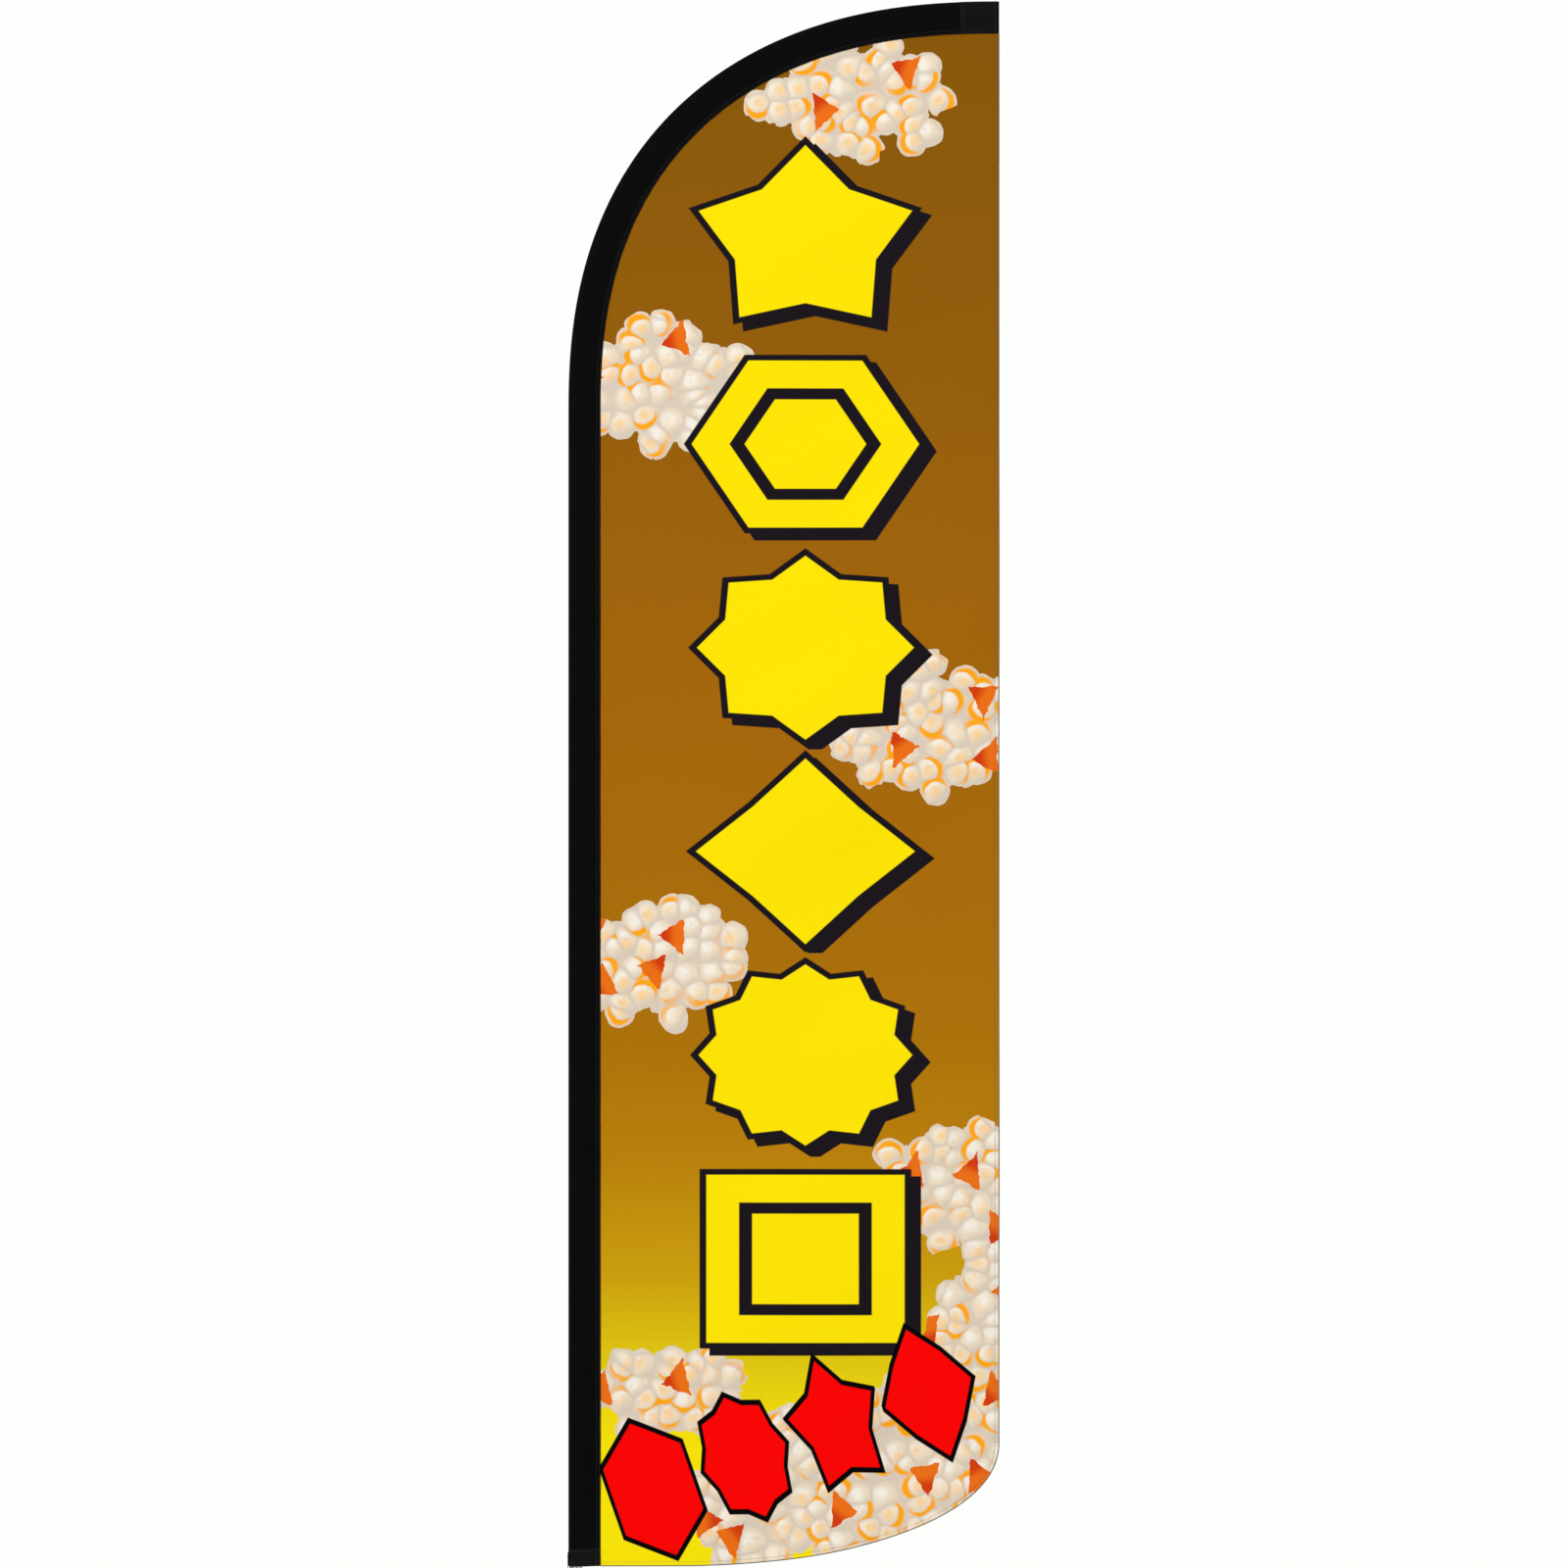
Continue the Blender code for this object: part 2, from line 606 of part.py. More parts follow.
def metal_sections():
    top = POLE_FOOT_Z + SECTION_PITCH
    ring("pole_section_1", POLE_BORE, POLE_RADIUS, POLE_FOOT_Z, top, LOWER_POLE_FRAME, ALUMINIUM)
    for index in range(1, METAL_SECTIONS):
        low = POLE_FOOT_Z + index * SECTION_PITCH + GAP
        high = POLE_FOOT_Z + (index + 1) * SECTION_PITCH
        turned(f"pole_section_{index + 1}", section_profile(low, high), FLAG_FRAME, ALUMINIUM)


ROD_FOOT_RUN = METAL_TOP_Z - BUSH_LENGTH
ROD_END_RUN = RUN_END - TIP_SETBACK
ROD_JOINT_RUN = (METAL_TOP_Z + ROD_END_RUN) / 2
FERRULE_RUNS = [ROD_JOINT_RUN + FERRULE_LENGTH * share for share in (-0.5, -0.25, 0.0, 0.25, 0.5)]
TIP_MOUTH_RUN = ROD_END_RUN - TIP_CAP_BORE


def rod_radius(run):
    return float(np.interp(run, [METAL_TOP_Z, ROD_END_RUN], [ROD_ROOT_RADIUS, ROD_TIP_RADIUS]))


TIP_CAP_RADIUS = rod_radius(TIP_MOUTH_RUN) + GAP + TIP_CAP_WALL


def bent_rod(name, low, high):
    """A solid fibreglass rod, bent to the bow: a curve along the pole's axis with a falling radius. It bends
    at the rings of what fits over it, so that they stay clear of it."""
    data = bpy.data.curves.new(name, "CURVE")
    data.dimensions = "3D"
    data.bevel_depth = 1.0
    data.bevel_resolution = 2
    data.use_fill_caps = True
    fitted = [run for run in (*FERRULE_RUNS, TIP_MOUTH_RUN) if low < run < high]
    runs = sorted({*stations(low, high), *fitted})
    spline = data.splines.new("POLY")
    spline.points.add(len(runs) - 1)
    for point, run in zip(spline.points, runs):
        point.co = (*across_edge(run, [(NOSE, 0.0)])[0], 1.0)
        point.radius = rod_radius(run)
    finish(bpy.data.objects.new(name, data), FLAG_FRAME, FIBREGLASS)


def round_section(radius, sides=SMALL_ROUND):
    return [(NOSE + x, y) for x, y in circle(radius, sides)]


def rod_fittings():
    spigot, bore = POLE_BORE - GAP, ROD_ROOT_RADIUS + GAP
    low, high = METAL_TOP_Z - BUSH_LENGTH, METAL_TOP_Z + GAP
    profile = [
        (POLE_RADIUS, high + BUSH_FLANGE),
        (POLE_RADIUS, high),
        (spigot, high),
        (spigot, low),
        (bore, low),
        (bore, high + BUSH_FLANGE),
    ]
    turned("rod_bush", profile, FLAG_FRAME, BLACK_PLASTIC)
    inner = rod_radius(FERRULE_RUNS[0]) + GAP
    outside = [across_edge(run, round_section(inner + FERRULE_WALL)) for run in FERRULE_RUNS]
    inside = [across_edge(run, round_section(inner)) for run in FERRULE_RUNS]
    lofted("rod_ferrule", outside + inside[::-1], FLAG_FRAME, ZINC, endless=True)


def tip_cap():
    """A blunt cup on the rod's end, swept along the last of the bow."""
    bore = TIP_CAP_RADIUS - TIP_CAP_WALL
    closed_end = TIP_MOUTH_RUN + TIP_CAP_LENGTH
    outside = [
        (TIP_MOUTH_RUN, TIP_CAP_RADIUS),
        (closed_end - TIP_CAP_ROUND, TIP_CAP_RADIUS),
        (closed_end, TIP_CAP_RADIUS - TIP_CAP_ROUND),
    ]
    inside = [(TIP_MOUTH_RUN, bore), (ROD_END_RUN + GAP, bore)]
    rings = [across_edge(run, round_section(radius)) for run, radius in outside[::-1] + inside]
    lofted("tip_cap", rings, FLAG_FRAME, BLACK_PLASTIC)


def rods():
    bent_rod("pole_section_4", ROD_FOOT_RUN, ROD_JOINT_RUN - GAP)
    bent_rod("pole_section_5", ROD_JOINT_RUN + GAP, ROD_END_RUN)
    rod_fittings()
    tip_cap()


# ------------------------------------------------------------------ the sleeve
STEP_RUN = METAL_TOP_Z + BUSH_FLANGE + 2 * SLEEVE_EASE
TAPER_RUN = METAL_TOP_Z + ROD_LEAD / 2


def sleeve_half(run):
    """Half of the sleeve's thickness over the pole, which follows the pole's own."""
    skin = SLEEVE_EASE + SLEEVE_WALL
    places = [STEP_RUN, TAPER_RUN, RUN_END]
    bulge = [POLE_RADIUS, ROD_ROOT_RADIUS + skin / 2, TIP_CAP_RADIUS]
    return float(np.interp(run, places, bulge)) + skin


def sleeve_section(run, wall=0.0):
    """A round nose over the pole and a tail that thins to the seam. A wall gives the hollow's outline."""
    half = sleeve_half(run)
    angles = np.radians(np.linspace(90, 270, NOSE_SIDES + 1))
    nose = [(NOSE + (NOSE - wall) * math.cos(a), (half - wall) * math.sin(a)) for a in angles]
    length = SLEEVE_WIDTH - NOSE
    tail_length = length - (SEAM_WIDTH if wall else 0.0)
    tail = []
    for place in tail_length * np.arange(1, TAIL_SIDES + 1) / TAIL_SIDES:
        fall = (1 + math.cos(math.pi * place / length)) / 2
        outside = SLEEVE_WALL + (half - SLEEVE_WALL) * fall
        tail.append((NOSE + place, max(outside - wall, SLEEVE_LEAST)))
    return nose + [(u, -v) for u, v in tail] + [(u, v) for u, v in tail[::-1]]


SLEEVE_END = RUN_END - TIP_POCKET_LENGTH
SLEEVE_RUNS = stations(FLAG_FOOT_Z + CUFF_HEIGHT + GAP, SLEEVE_END)
POCKET_RUNS = [float(run) for run in np.linspace(SLEEVE_END + GAP, RUN_END, 4)]


def soft_tube(name, runs, wall):
    outside = [across_edge(run, sleeve_section(run)) for run in runs]
    inside = [across_edge(run, sleeve_section(run, wall)) for run in runs]
    lofted(name, outside + inside[::-1], FLAG_FRAME, BLACK_CLOTH, endless=True, smooth_angle=50)


def sleeve():
    soft_tube("sleeve_cuff", [FLAG_FOOT_Z, FLAG_FOOT_Z + CUFF_HEIGHT], CUFF_WALL)
    soft_tube("sleeve", SLEEVE_RUNS, SLEEVE_WALL)
    hollow = np.linspace(POCKET_RUNS[0], RUN_END - TIP_POCKET_END, len(POCKET_RUNS))
    outside = [across_edge(run, sleeve_section(run)) for run in POCKET_RUNS[::-1]]
    inside = [across_edge(run, sleeve_section(run, SLEEVE_WALL)) for run in hollow]
    lofted("tip_pocket", outside + inside, FLAG_FRAME, BLACK_CLOTH, smooth_angle=50)


# ------------------------------------------------------------------ the flag
def panel():
    """The printed cloth. Its seam side has a corner at each of the sleeve's rings, so they run parallel."""
    border = HEM_WIDTH + GAP
    fly = FLY_X - border
    rings = [across_edge(run, [(SLEEVE_WIDTH + GAP, 0.0)])[0] for run in (*SLEEVE_RUNS, *POCKET_RUNS)]
    seam = np.array([(x, z) for x, _, z in rings])
    bow = [point for point in seam if point[0] < fly]
    crown = (fly, np.interp(fly, seam[:, 0], seam[:, 1]))
    corner = even(foot_corner(border), BOW_STATIONS)
    tack = (SEAM_X + GAP, FLAG_FOOT_Z + border)
    outline = [*bow, crown, *corner, tack]
    finish(slab("flag_panel", [outline], CLOTH, UPRIGHT), FLAG_FRAME, PRINTED_CLOTH)


def hems():
    top = FLAG_TOP_Z - SLEEVE_WIDTH - GAP
    bend = FLAG_FOOT_Z + CORNER_HEIGHT
    fly = [(FLY_X - HEM_WIDTH, bend), (FLY_X, bend), (FLY_X, top), (FLY_X - HEM_WIDTH, top)]
    finish(slab("fly_hem", [fly], HEM_THICKNESS, UPRIGHT), FLAG_FRAME, HEM_CLOTH)
    start = np.array([[FLY_X, bend - GAP], [FLY_X - HEM_WIDTH, bend - GAP]])
    outer, inner = even(foot_corner(), BOW_STATIONS)[1:], even(foot_corner(HEM_WIDTH), BOW_STATIONS)[1:]
    tack = SEAM_X + GAP
    foot = [start[0], *outer, (tack, FLAG_FOOT_Z), (tack, FLAG_FOOT_Z + HEM_WIDTH), *inner[::-1], start[1]]
    finish(slab("foot_hem", [foot], HEM_THICKNESS, UPRIGHT), FLAG_FRAME, HEM_CLOTH)


# ------------------------------------------------------------------ the strap and its clip
ALONG_X = Matrix.Rotation(math.radians(90), 4, "Y")  # turns a piece's Z onto +X


def strap():
    """A flat elastic strap with a round lower end, and a hole for its eyelet."""
    half = STRAP_WIDTH / 2
    angles = np.radians(np.linspace(180, 360, 13))
    rounded = [(half * math.cos(a), EYELET_Z + half * math.sin(a)) for a in angles]
    top = FLAG_FOOT_Z + STRAP_LAP
    hole = [(y, EYELET_Z + z) for y, z in circle(EYELET_BORE + EYELET_BARREL + GAP, SMALL_ROUND)]
    facing = Matrix.Translation((STRAP_X, 0, 0)) @ Matrix.Rotation(math.radians(90), 4, "Z") @ UPRIGHT
    outline = [*rounded, (half, top), (-half, top)]
    finish(slab("tension_strap", [outline, hole], STRAP_THICKNESS, facing), FLAG_FRAME, ELASTIC)


def eyelet():
    barrel = EYELET_BORE + EYELET_BARREL
    inner = STRAP_THICKNESS / 2 + GAP
    outer = inner + EYELET_SHEET
    profile = [
        (EYELET_RIM, outer),
        (EYELET_RIM, inner),
        (barrel, inner),
        (barrel, -inner),
        (EYELET_RIM, -inner),
        (EYELET_RIM, -outer),
        (EYELET_BORE, -outer),
        (EYELET_BORE, outer),
    ]
    ring_piece = turned("strap_eyelet", profile, CLIP_FRAME, BRASS, SMALL_ROUND)
    ring_piece.matrix_basis = Matrix.Translation((STRAP_X, 0, EYELET_Z)) @ ALONG_X


def clip():
    """A spring clip round the pole, open on the fly side, with a headed peg for the eyelet."""
    inner = POLE_RADIUS + GAP
    outer = inner + CLIP_WALL
    low, high = EYELET_Z - CLIP_HEIGHT / 2, EYELET_Z + CLIP_HEIGHT / 2
    outlines = [circle(outer, ROUND), circle(inner, ROUND)]
    band = slab("pole_clip", outlines, CLIP_HEIGHT, level(low, CLIP_HEIGHT))
    mouth_low = (0, -CLIP_MOUTH / 2, low - CUTTER_MARGIN)
    mouth_high = (2 * outer, CLIP_MOUTH / 2, high + CUTTER_MARGIN)
    mouth = drawn_box("clip_mouth", mouth_low, mouth_high)
    boolean(band, mouth, "DIFFERENCE")
    peg_radius = EYELET_BORE - PEG_EASE
    peg_end = STRAP_X - STRAP_THICKNESS / 2 - 2 * GAP - EYELET_SHEET - PEG_HEAD
    peg_start = -(inner + CLIP_WALL / 2)
    place = Matrix.Translation(((peg_start + peg_end) / 2, 0, EYELET_Z)) @ ALONG_X
    boolean(band, drawn_cylinder("clip_peg", peg_radius, peg_start - peg_end, place), "UNION")
    finish(band, CLIP_FRAME, BLACK_PLASTIC)


stake()
axle()
axle_fittings()
spindle()
spindle_fittings()
pole_foot_ring()
metal_sections()
rods()
sleeve()
panel()
hems()
strap()
eyelet()
clip()
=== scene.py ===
# %% [markdown]
# # A feather flag on its pole
# The real thing is a tall printed flag with a black sleeve sewn along one side and over its bowed top. A
# pole of five sections slides into the sleeve and bends at the top, a strap pulls the sleeve down on to the
# pole, and the pole stands on a spindle that turns on a ground stake. The metal and plastic parts come
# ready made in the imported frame. This lesson sews the cloth around them, and gives every part its finish.

# %% Load the frame
import json
import math

import bmesh
import bpy
import numpy as np
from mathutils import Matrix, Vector
from mathutils.geometry import delaunay_2d_cdt

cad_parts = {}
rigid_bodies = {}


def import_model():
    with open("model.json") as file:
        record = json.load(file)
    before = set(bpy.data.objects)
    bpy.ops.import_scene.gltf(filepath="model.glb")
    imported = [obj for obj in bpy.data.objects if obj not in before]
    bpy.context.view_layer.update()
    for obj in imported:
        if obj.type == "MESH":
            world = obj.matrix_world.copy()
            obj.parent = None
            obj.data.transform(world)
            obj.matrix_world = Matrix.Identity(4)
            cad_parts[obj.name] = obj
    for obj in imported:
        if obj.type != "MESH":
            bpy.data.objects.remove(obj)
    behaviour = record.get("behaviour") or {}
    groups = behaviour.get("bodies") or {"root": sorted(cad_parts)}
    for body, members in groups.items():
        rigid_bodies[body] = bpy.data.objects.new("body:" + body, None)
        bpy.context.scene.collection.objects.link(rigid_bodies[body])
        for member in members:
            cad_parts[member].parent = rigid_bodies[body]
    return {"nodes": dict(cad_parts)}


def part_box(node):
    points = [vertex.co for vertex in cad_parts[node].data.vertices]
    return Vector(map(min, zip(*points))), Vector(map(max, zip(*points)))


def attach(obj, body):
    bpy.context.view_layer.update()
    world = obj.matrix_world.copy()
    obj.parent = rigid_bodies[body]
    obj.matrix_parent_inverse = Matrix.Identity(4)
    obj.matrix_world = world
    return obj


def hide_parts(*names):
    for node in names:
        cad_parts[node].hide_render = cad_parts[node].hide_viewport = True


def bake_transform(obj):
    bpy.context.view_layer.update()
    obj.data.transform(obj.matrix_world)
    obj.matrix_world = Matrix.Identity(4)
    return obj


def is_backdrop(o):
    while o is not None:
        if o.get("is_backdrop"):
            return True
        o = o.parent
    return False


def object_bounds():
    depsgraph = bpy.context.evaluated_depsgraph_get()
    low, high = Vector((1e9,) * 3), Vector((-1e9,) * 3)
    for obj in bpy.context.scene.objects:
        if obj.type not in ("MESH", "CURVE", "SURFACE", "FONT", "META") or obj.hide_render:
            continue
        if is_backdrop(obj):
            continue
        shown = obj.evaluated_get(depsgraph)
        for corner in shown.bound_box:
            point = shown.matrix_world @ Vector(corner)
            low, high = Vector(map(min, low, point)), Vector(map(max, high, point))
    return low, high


for leftover in list(bpy.data.objects):
    bpy.data.objects.remove(leftover, do_unlink=True)

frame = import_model()
cad_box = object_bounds()
print("the frame holds", len(frame["nodes"]), "nodes")

# %% [markdown]
# ## Where things are
# Every place is read from the frame, so that the cloth lands on the pole. The flag's outline is two quarter
# superellipses joined by straight lines. A superellipse is an ellipse with another power than 2, and it is
# what a bent rod and a rounded corner come closest to. Only their reach and power are given here.

# %% Landmarks
cuff_low, cuff_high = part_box("sleeve_cuff")
LUFF_X, SEAM_X = cuff_low.x, cuff_high.x
FOOT_Z, CUFF_TOP_Z = cuff_low.z, cuff_high.z
pocket_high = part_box("tip_pocket")[1]
FLY_X, TOP_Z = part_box("fly_hem")[1].x, pocket_high.z
SLEEVE_WIDTH = SEAM_X - LUFF_X
FLAG_WIDTH, FLAG_HEIGHT = FLY_X - LUFF_X, TOP_Z - FOOT_Z
NOSE = -LUFF_X  # from the sleeve's outer edge to the pole's axis
METAL_TOP_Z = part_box("pole_section_3")[1].z

SHOULDER_HEIGHT, SHOULDER_POWER = 0.919, 2.35
CORNER_LENGTH, CORNER_HEIGHT, CORNER_POWER = 0.722, 0.276, 2.1
SPRING_Z = TOP_Z - SHOULDER_HEIGHT  # where the bow starts
BEND_Z = FOOT_Z + CORNER_HEIGHT  # where the rounded corner meets the fly edge
print("flag", round(FLAG_WIDTH, 3), "x", round(FLAG_HEIGHT, 3), "foot at", round(FOOT_Z, 3))


# %% The outline
def quarter(centre, reach, power, steps=500):
    """A quarter superellipse's points and its unit normals, which point into it."""
    angle = np.linspace(0, np.pi / 2, steps)
    across, up = np.cos(angle) ** (2 / power), np.sin(angle) ** (2 / power)
    inward = -np.stack([across ** (power - 1) / reach[0], up ** (power - 1) / reach[1]], axis=1)
    inward /= np.linalg.norm(inward, axis=1, keepdims=True)
    return np.array(centre) + np.stack([reach[0] * across, reach[1] * up], axis=1), inward


def lengths_along(points):
    return np.concatenate([[0], np.cumsum(np.linalg.norm(np.diff(points, axis=0), axis=1))])


def at(places, known, values):
    """Interpolates each column of the values."""
    return np.stack([np.interp(places, known, column) for column in values.T], axis=-1)


BOW, BOW_INWARD = quarter((FLY_X, SPRING_Z), (-FLAG_WIDTH, SHOULDER_HEIGHT), SHOULDER_POWER)
BOW_RUN = SPRING_Z + lengths_along(BOW)
RUN_END = BOW_RUN[-1]
CORNER_CENTRE = (FLY_X - CORNER_LENGTH, BEND_Z)
CORNER, CORNER_INWARD = quarter(CORNER_CENTRE, (CORNER_LENGTH, -CORNER_HEIGHT), CORNER_POWER)


def luff(runs):
    """Points and inward directions on the sleeve's outer edge. A run is the height up to where the bow
    starts, and then the length along it."""
    runs = np.asarray(runs, float)
    points, inward = at(runs, BOW_RUN, BOW), at(runs, BOW_RUN, BOW_INWARD)
    straight = runs < SPRING_Z
    points[straight] = np.stack([np.full(straight.sum(), LUFF_X), runs[straight]], axis=1)
    inward[straight] = (1.0, 0.0)
    return points, inward / np.linalg.norm(inward, axis=-1, keepdims=True)


def free_edge(inset=0.0):
    """Points and inward directions down the fly edge, round the corner and along the foot to the seam."""
    top, tack = TOP_Z - SLEEVE_WIDTH, SEAM_X + 0.001
    points = np.array([(FLY_X, top), *CORNER, (tack, FOOT_Z)])
    inward = np.array([(-1.0, 0.0), *CORNER_INWARD, (0.0, 1.0)])
    return points + inset * inward, inward


def even(points, spacing):
    """Places evenly spaced along a line of points, as lengths from its start."""
    total = lengths_along(points)[-1]
    return np.linspace(0, total, max(2, round(total / spacing) + 1))


print("the bow is", round(RUN_END - SPRING_Z, 3), "m long")

# %% [markdown]
# ## The studio
# The flag is seen square on from far away through a long lens, against white. A white world gives even
# light, which keeps the print's colours true, and three large soft lights add just enough direction to show
# the folds. Four dark cards that only reflections can see put edges on the polished tube.

# %% The camera
VIEW_CENTRE = (0.466, 2.302)
VIEW_HEIGHT = 3.5126
LENS, SENSOR = 200.0, 36.0

camera_data = bpy.data.cameras.new("camera")
camera_data.lens, camera_data.sensor_width = LENS, SENSOR
camera_data.clip_end = 200.0
camera = bpy.data.objects.new("camera", camera_data)
camera.location = (VIEW_CENTRE[0], -VIEW_HEIGHT * LENS / SENSOR, VIEW_CENTRE[1])
camera.rotation_euler = (math.radians(90), 0, 0)
bpy.context.scene.collection.objects.link(camera)
bpy.context.scene.camera = camera
print("the camera stands", round(-camera.location.y, 2), "m away")

# %% The light
world = bpy.data.worlds.new("white_room")
world.use_nodes = True
world.node_tree.nodes["Background"].inputs["Color"].default_value = (0.985, 1.0, 0.975, 1.0)
world.node_tree.nodes["Background"].inputs["Strength"].default_value = 1.0
bpy.context.scene.world = world
bpy.context.scene.view_settings.view_transform = "Standard"


def softbox(name, place, aim, size, watts):
    light = bpy.data.lights.new(name, "AREA")
    light.shape, light.size, light.energy = "DISK", size, watts
    lamp = bpy.data.objects.new(name, light)
    lamp.location = place
    lamp.rotation_euler = (Vector(aim) - Vector(place)).to_track_quat("-Z", "Y").to_euler()
    lamp.visible_camera = False
    bpy.context.scene.collection.objects.link(lamp)


MIDDLE = (0.45, 0.0, 2.2)
softbox("key", (-9.0, -9.0, 7.0), MIDDLE, 4.0, 800)
softbox("fill", (9.0, -8.0, 3.0), MIDDLE, 6.0, 260)
softbox("back", (5.0, 11.0, 6.0), MIDDLE, 5.0, 700)


# %% [markdown]
# ## Finishes as sums
# A procedural finish is a small sum worked out at every point of a surface. The class below wraps one
# output of a node, so that the sum can be written the way it would be on paper, and each operator adds the
# node that does it.

# %% Wires and looks
class Wire:
    """One output of a node. An operator between wires, or a wire and a number, adds a maths node."""

    def __init__(self, look, socket):
        self.look, self.socket = look, socket

    def work(self, operation, *values):
        vector = any(isinstance(v, Wire) and v.socket.type == "VECTOR" for v in values)
        kind = "ShaderNodeVectorMath" if vector else "ShaderNodeMath"
        return self.look.add(kind, {"operation": operation}, values)[0]

    def __neg__(self):
        return self.work("MULTIPLY", self, -1.0)

    def __abs__(self):
        return self.work("ABSOLUTE", self)

    def __lt__(self, other):
        return self.work("LESS_THAN", self, other)

    def __gt__(self, other):
        return self.work("GREATER_THAN", self, other)


def operator(operation, swapped):
    def work(self, other):
        return self.work(operation, *((other, self) if swapped else (self, other)))

    return work


for word, operation in {"add": "ADD", "sub": "SUBTRACT", "mul": "MULTIPLY", "truediv": "DIVIDE"}.items():
    setattr(Wire, f"__{word}__", operator(operation, False))
    setattr(Wire, f"__r{word}__", operator(operation, True))


class Outputs:
    """What a node gives, by name or by number."""

    def __init__(self, look, node):
        self.look, self.node = look, node

    def __getitem__(self, key):
        return Wire(self.look, self.node.outputs[key])


class Look:
    """A material being made: its nodes, and the shader that they end in."""

    def __init__(self, name):
        self.material = bpy.data.materials.new(name)
        self.material.use_nodes = True
        self.tree = self.material.node_tree
        self.shader = self.tree.nodes["Principled BSDF"]

    def feed(self, socket, value):
        if isinstance(value, Wire):
            self.tree.links.new(value.socket, socket)
        elif not hasattr(socket.default_value, "__len__"):
            socket.default_value = value
        else:
            size = len(socket.default_value)
            value = tuple(value) if hasattr(value, "__len__") else (value,) * size
            socket.default_value = value + (1.0,) * (size - len(value))

    def add(self, kind, settings=None, values=()):
        """Any node: its type, its settings or ramp stops, and its sockets' values by name or in order."""
        node = self.tree.nodes.new(kind)
        for name, value in (settings or {}).items():
            if name == "stops":
                self.set_stops(node.color_ramp, value)
            else:
                setattr(node, name, value)
        for key, value in values.items() if isinstance(values, dict) else enumerate(values):
            self.feed(node.inputs[key], value)
        return Outputs(self, node)

    @staticmethod
    def set_stops(ramp, stops):
        """A stop is a place along the ramp and its colour. A new ramp has two stops already."""
        for _ in stops[2:]:
            ramp.elements.new(0.5)
        for element, (place, colour) in zip(ramp.elements, sorted(stops)):
            element.position = place
            element.color = (*colour, 1.0)

    def finish(self, **sockets):
        """Feeds the shader: Base_Color means its Base Color."""
        for name, value in sockets.items():
            self.feed(self.shader.inputs[name.replace("_", " ")], value)
        return self.material


# %% Sums that are used often
def maths(operation, *values):
    wire = next(value for value in values if isinstance(value, Wire))
    return wire.work(operation, *values)


def smaller(a, b):
    return maths("MINIMUM", a, b)


def larger(a, b):
    return maths("MAXIMUM", a, b)


def rise(value, low, high):
    """0 up to the low mark and 1 from the high one, with a smooth step between."""
    sockets = {"Value": value, "From Min": low, "From Max": high}
    return value.look.add("ShaderNodeMapRange", {"interpolation_type": "SMOOTHSTEP"}, sockets)["Result"]


def fall(value, low, high):
    return 1 - rise(value, low, high)


def mixed(share, below, above, blend="MIX"):
    """Two colours in a share, which is a wire: 0 is all the one below."""
    settings = {"data_type": "RGBA", "blend_type": blend}
    return share.look.add("ShaderNodeMix", settings, {0: share, 6: below, 7: above})[2]


def place_on(look):
    return look.add("ShaderNodeTexCoord")["Object"]


def split(vector):
    parts = vector.look.add("ShaderNodeSeparateXYZ", None, [vector])
    return parts[0], parts[1], parts[2]


def joined(look, x, y, z=0.0):
    return look.add("ShaderNodeCombineXYZ", None, [x, y, z])[0]


def noise(look, place, scale, detail=2.0, roughness=0.5):
    sockets = {"Vector": place, "Scale": scale, "Detail": detail, "Roughness": roughness}
    return look.add("ShaderNodeTexNoise", None, sockets)


def bumped(look, height, distance, strength=1.0):
    """A normal that follows a height, where the distance is how far a height of 1 stands proud, in metres."""
    return look.add("ShaderNodeBump", None, {"Strength": strength, "Distance": distance, "Height": height})[0]


# %% [markdown]
# ## Ink
# A printed colour is given as it should look on the finished flag, in the usual 0 to 255 of a print shop.
# The studio lights the cloth a little brighter than plain white, so the ink is made that much darker.

# %% Colours
STUDIO_LEVEL = 1.37


def linear(red, green, blue):
    shares = [value / 255 for value in (red, green, blue)]
    return tuple(s / 12.92 if s <= 0.04045 else ((s + 0.055) / 1.055) ** 2.4 for s in shares)


def ink(red, green, blue):
    return tuple(value / STUDIO_LEVEL for value in linear(red, green, blue))


print("yellow ink reflects", *(round(v, 3) for v in ink(255, 232, 5)))

# %% [markdown]
# ## The print: the ground
# The ground runs from a dark toffee brown at the top, through amber, to lemon yellow at the foot. On the
# real flag it is one long gradient, so it is one ramp here, along the height above the foot.

# %% The ground colour
GROUND_STOPS = [
    (0.00, ink(253, 231, 5)),
    (0.075, ink(252, 229, 6)),
    (0.125, ink(230, 205, 14)),
    (0.185, ink(206, 160, 11)),
    (0.260, ink(187, 129, 7)),
    (0.340, ink(173, 114, 6)),
    (0.520, ink(167, 104, 8)),
    (0.760, ink(149, 94, 8)),
    (0.970, ink(136, 87, 6)),
]


def ground_colour(look, up):
    """The ramp's colour at a height above the foot."""
    share = up / FLAG_HEIGHT
    return look.add("ShaderNodeValToRGB", {"stops": GROUND_STOPS}, [share])["Color"]


# %% [markdown]
# ## The print: popcorn
# Clusters of popcorn lie on the ground colour. Popcorn is a heap of round lumps, and a Voronoi texture
# scatters points in just that way: every lump is a disc around one point. Whether a lump is there at all is
# asked at its own centre, so that a cluster's outline is made of whole lumps and is never cut through.

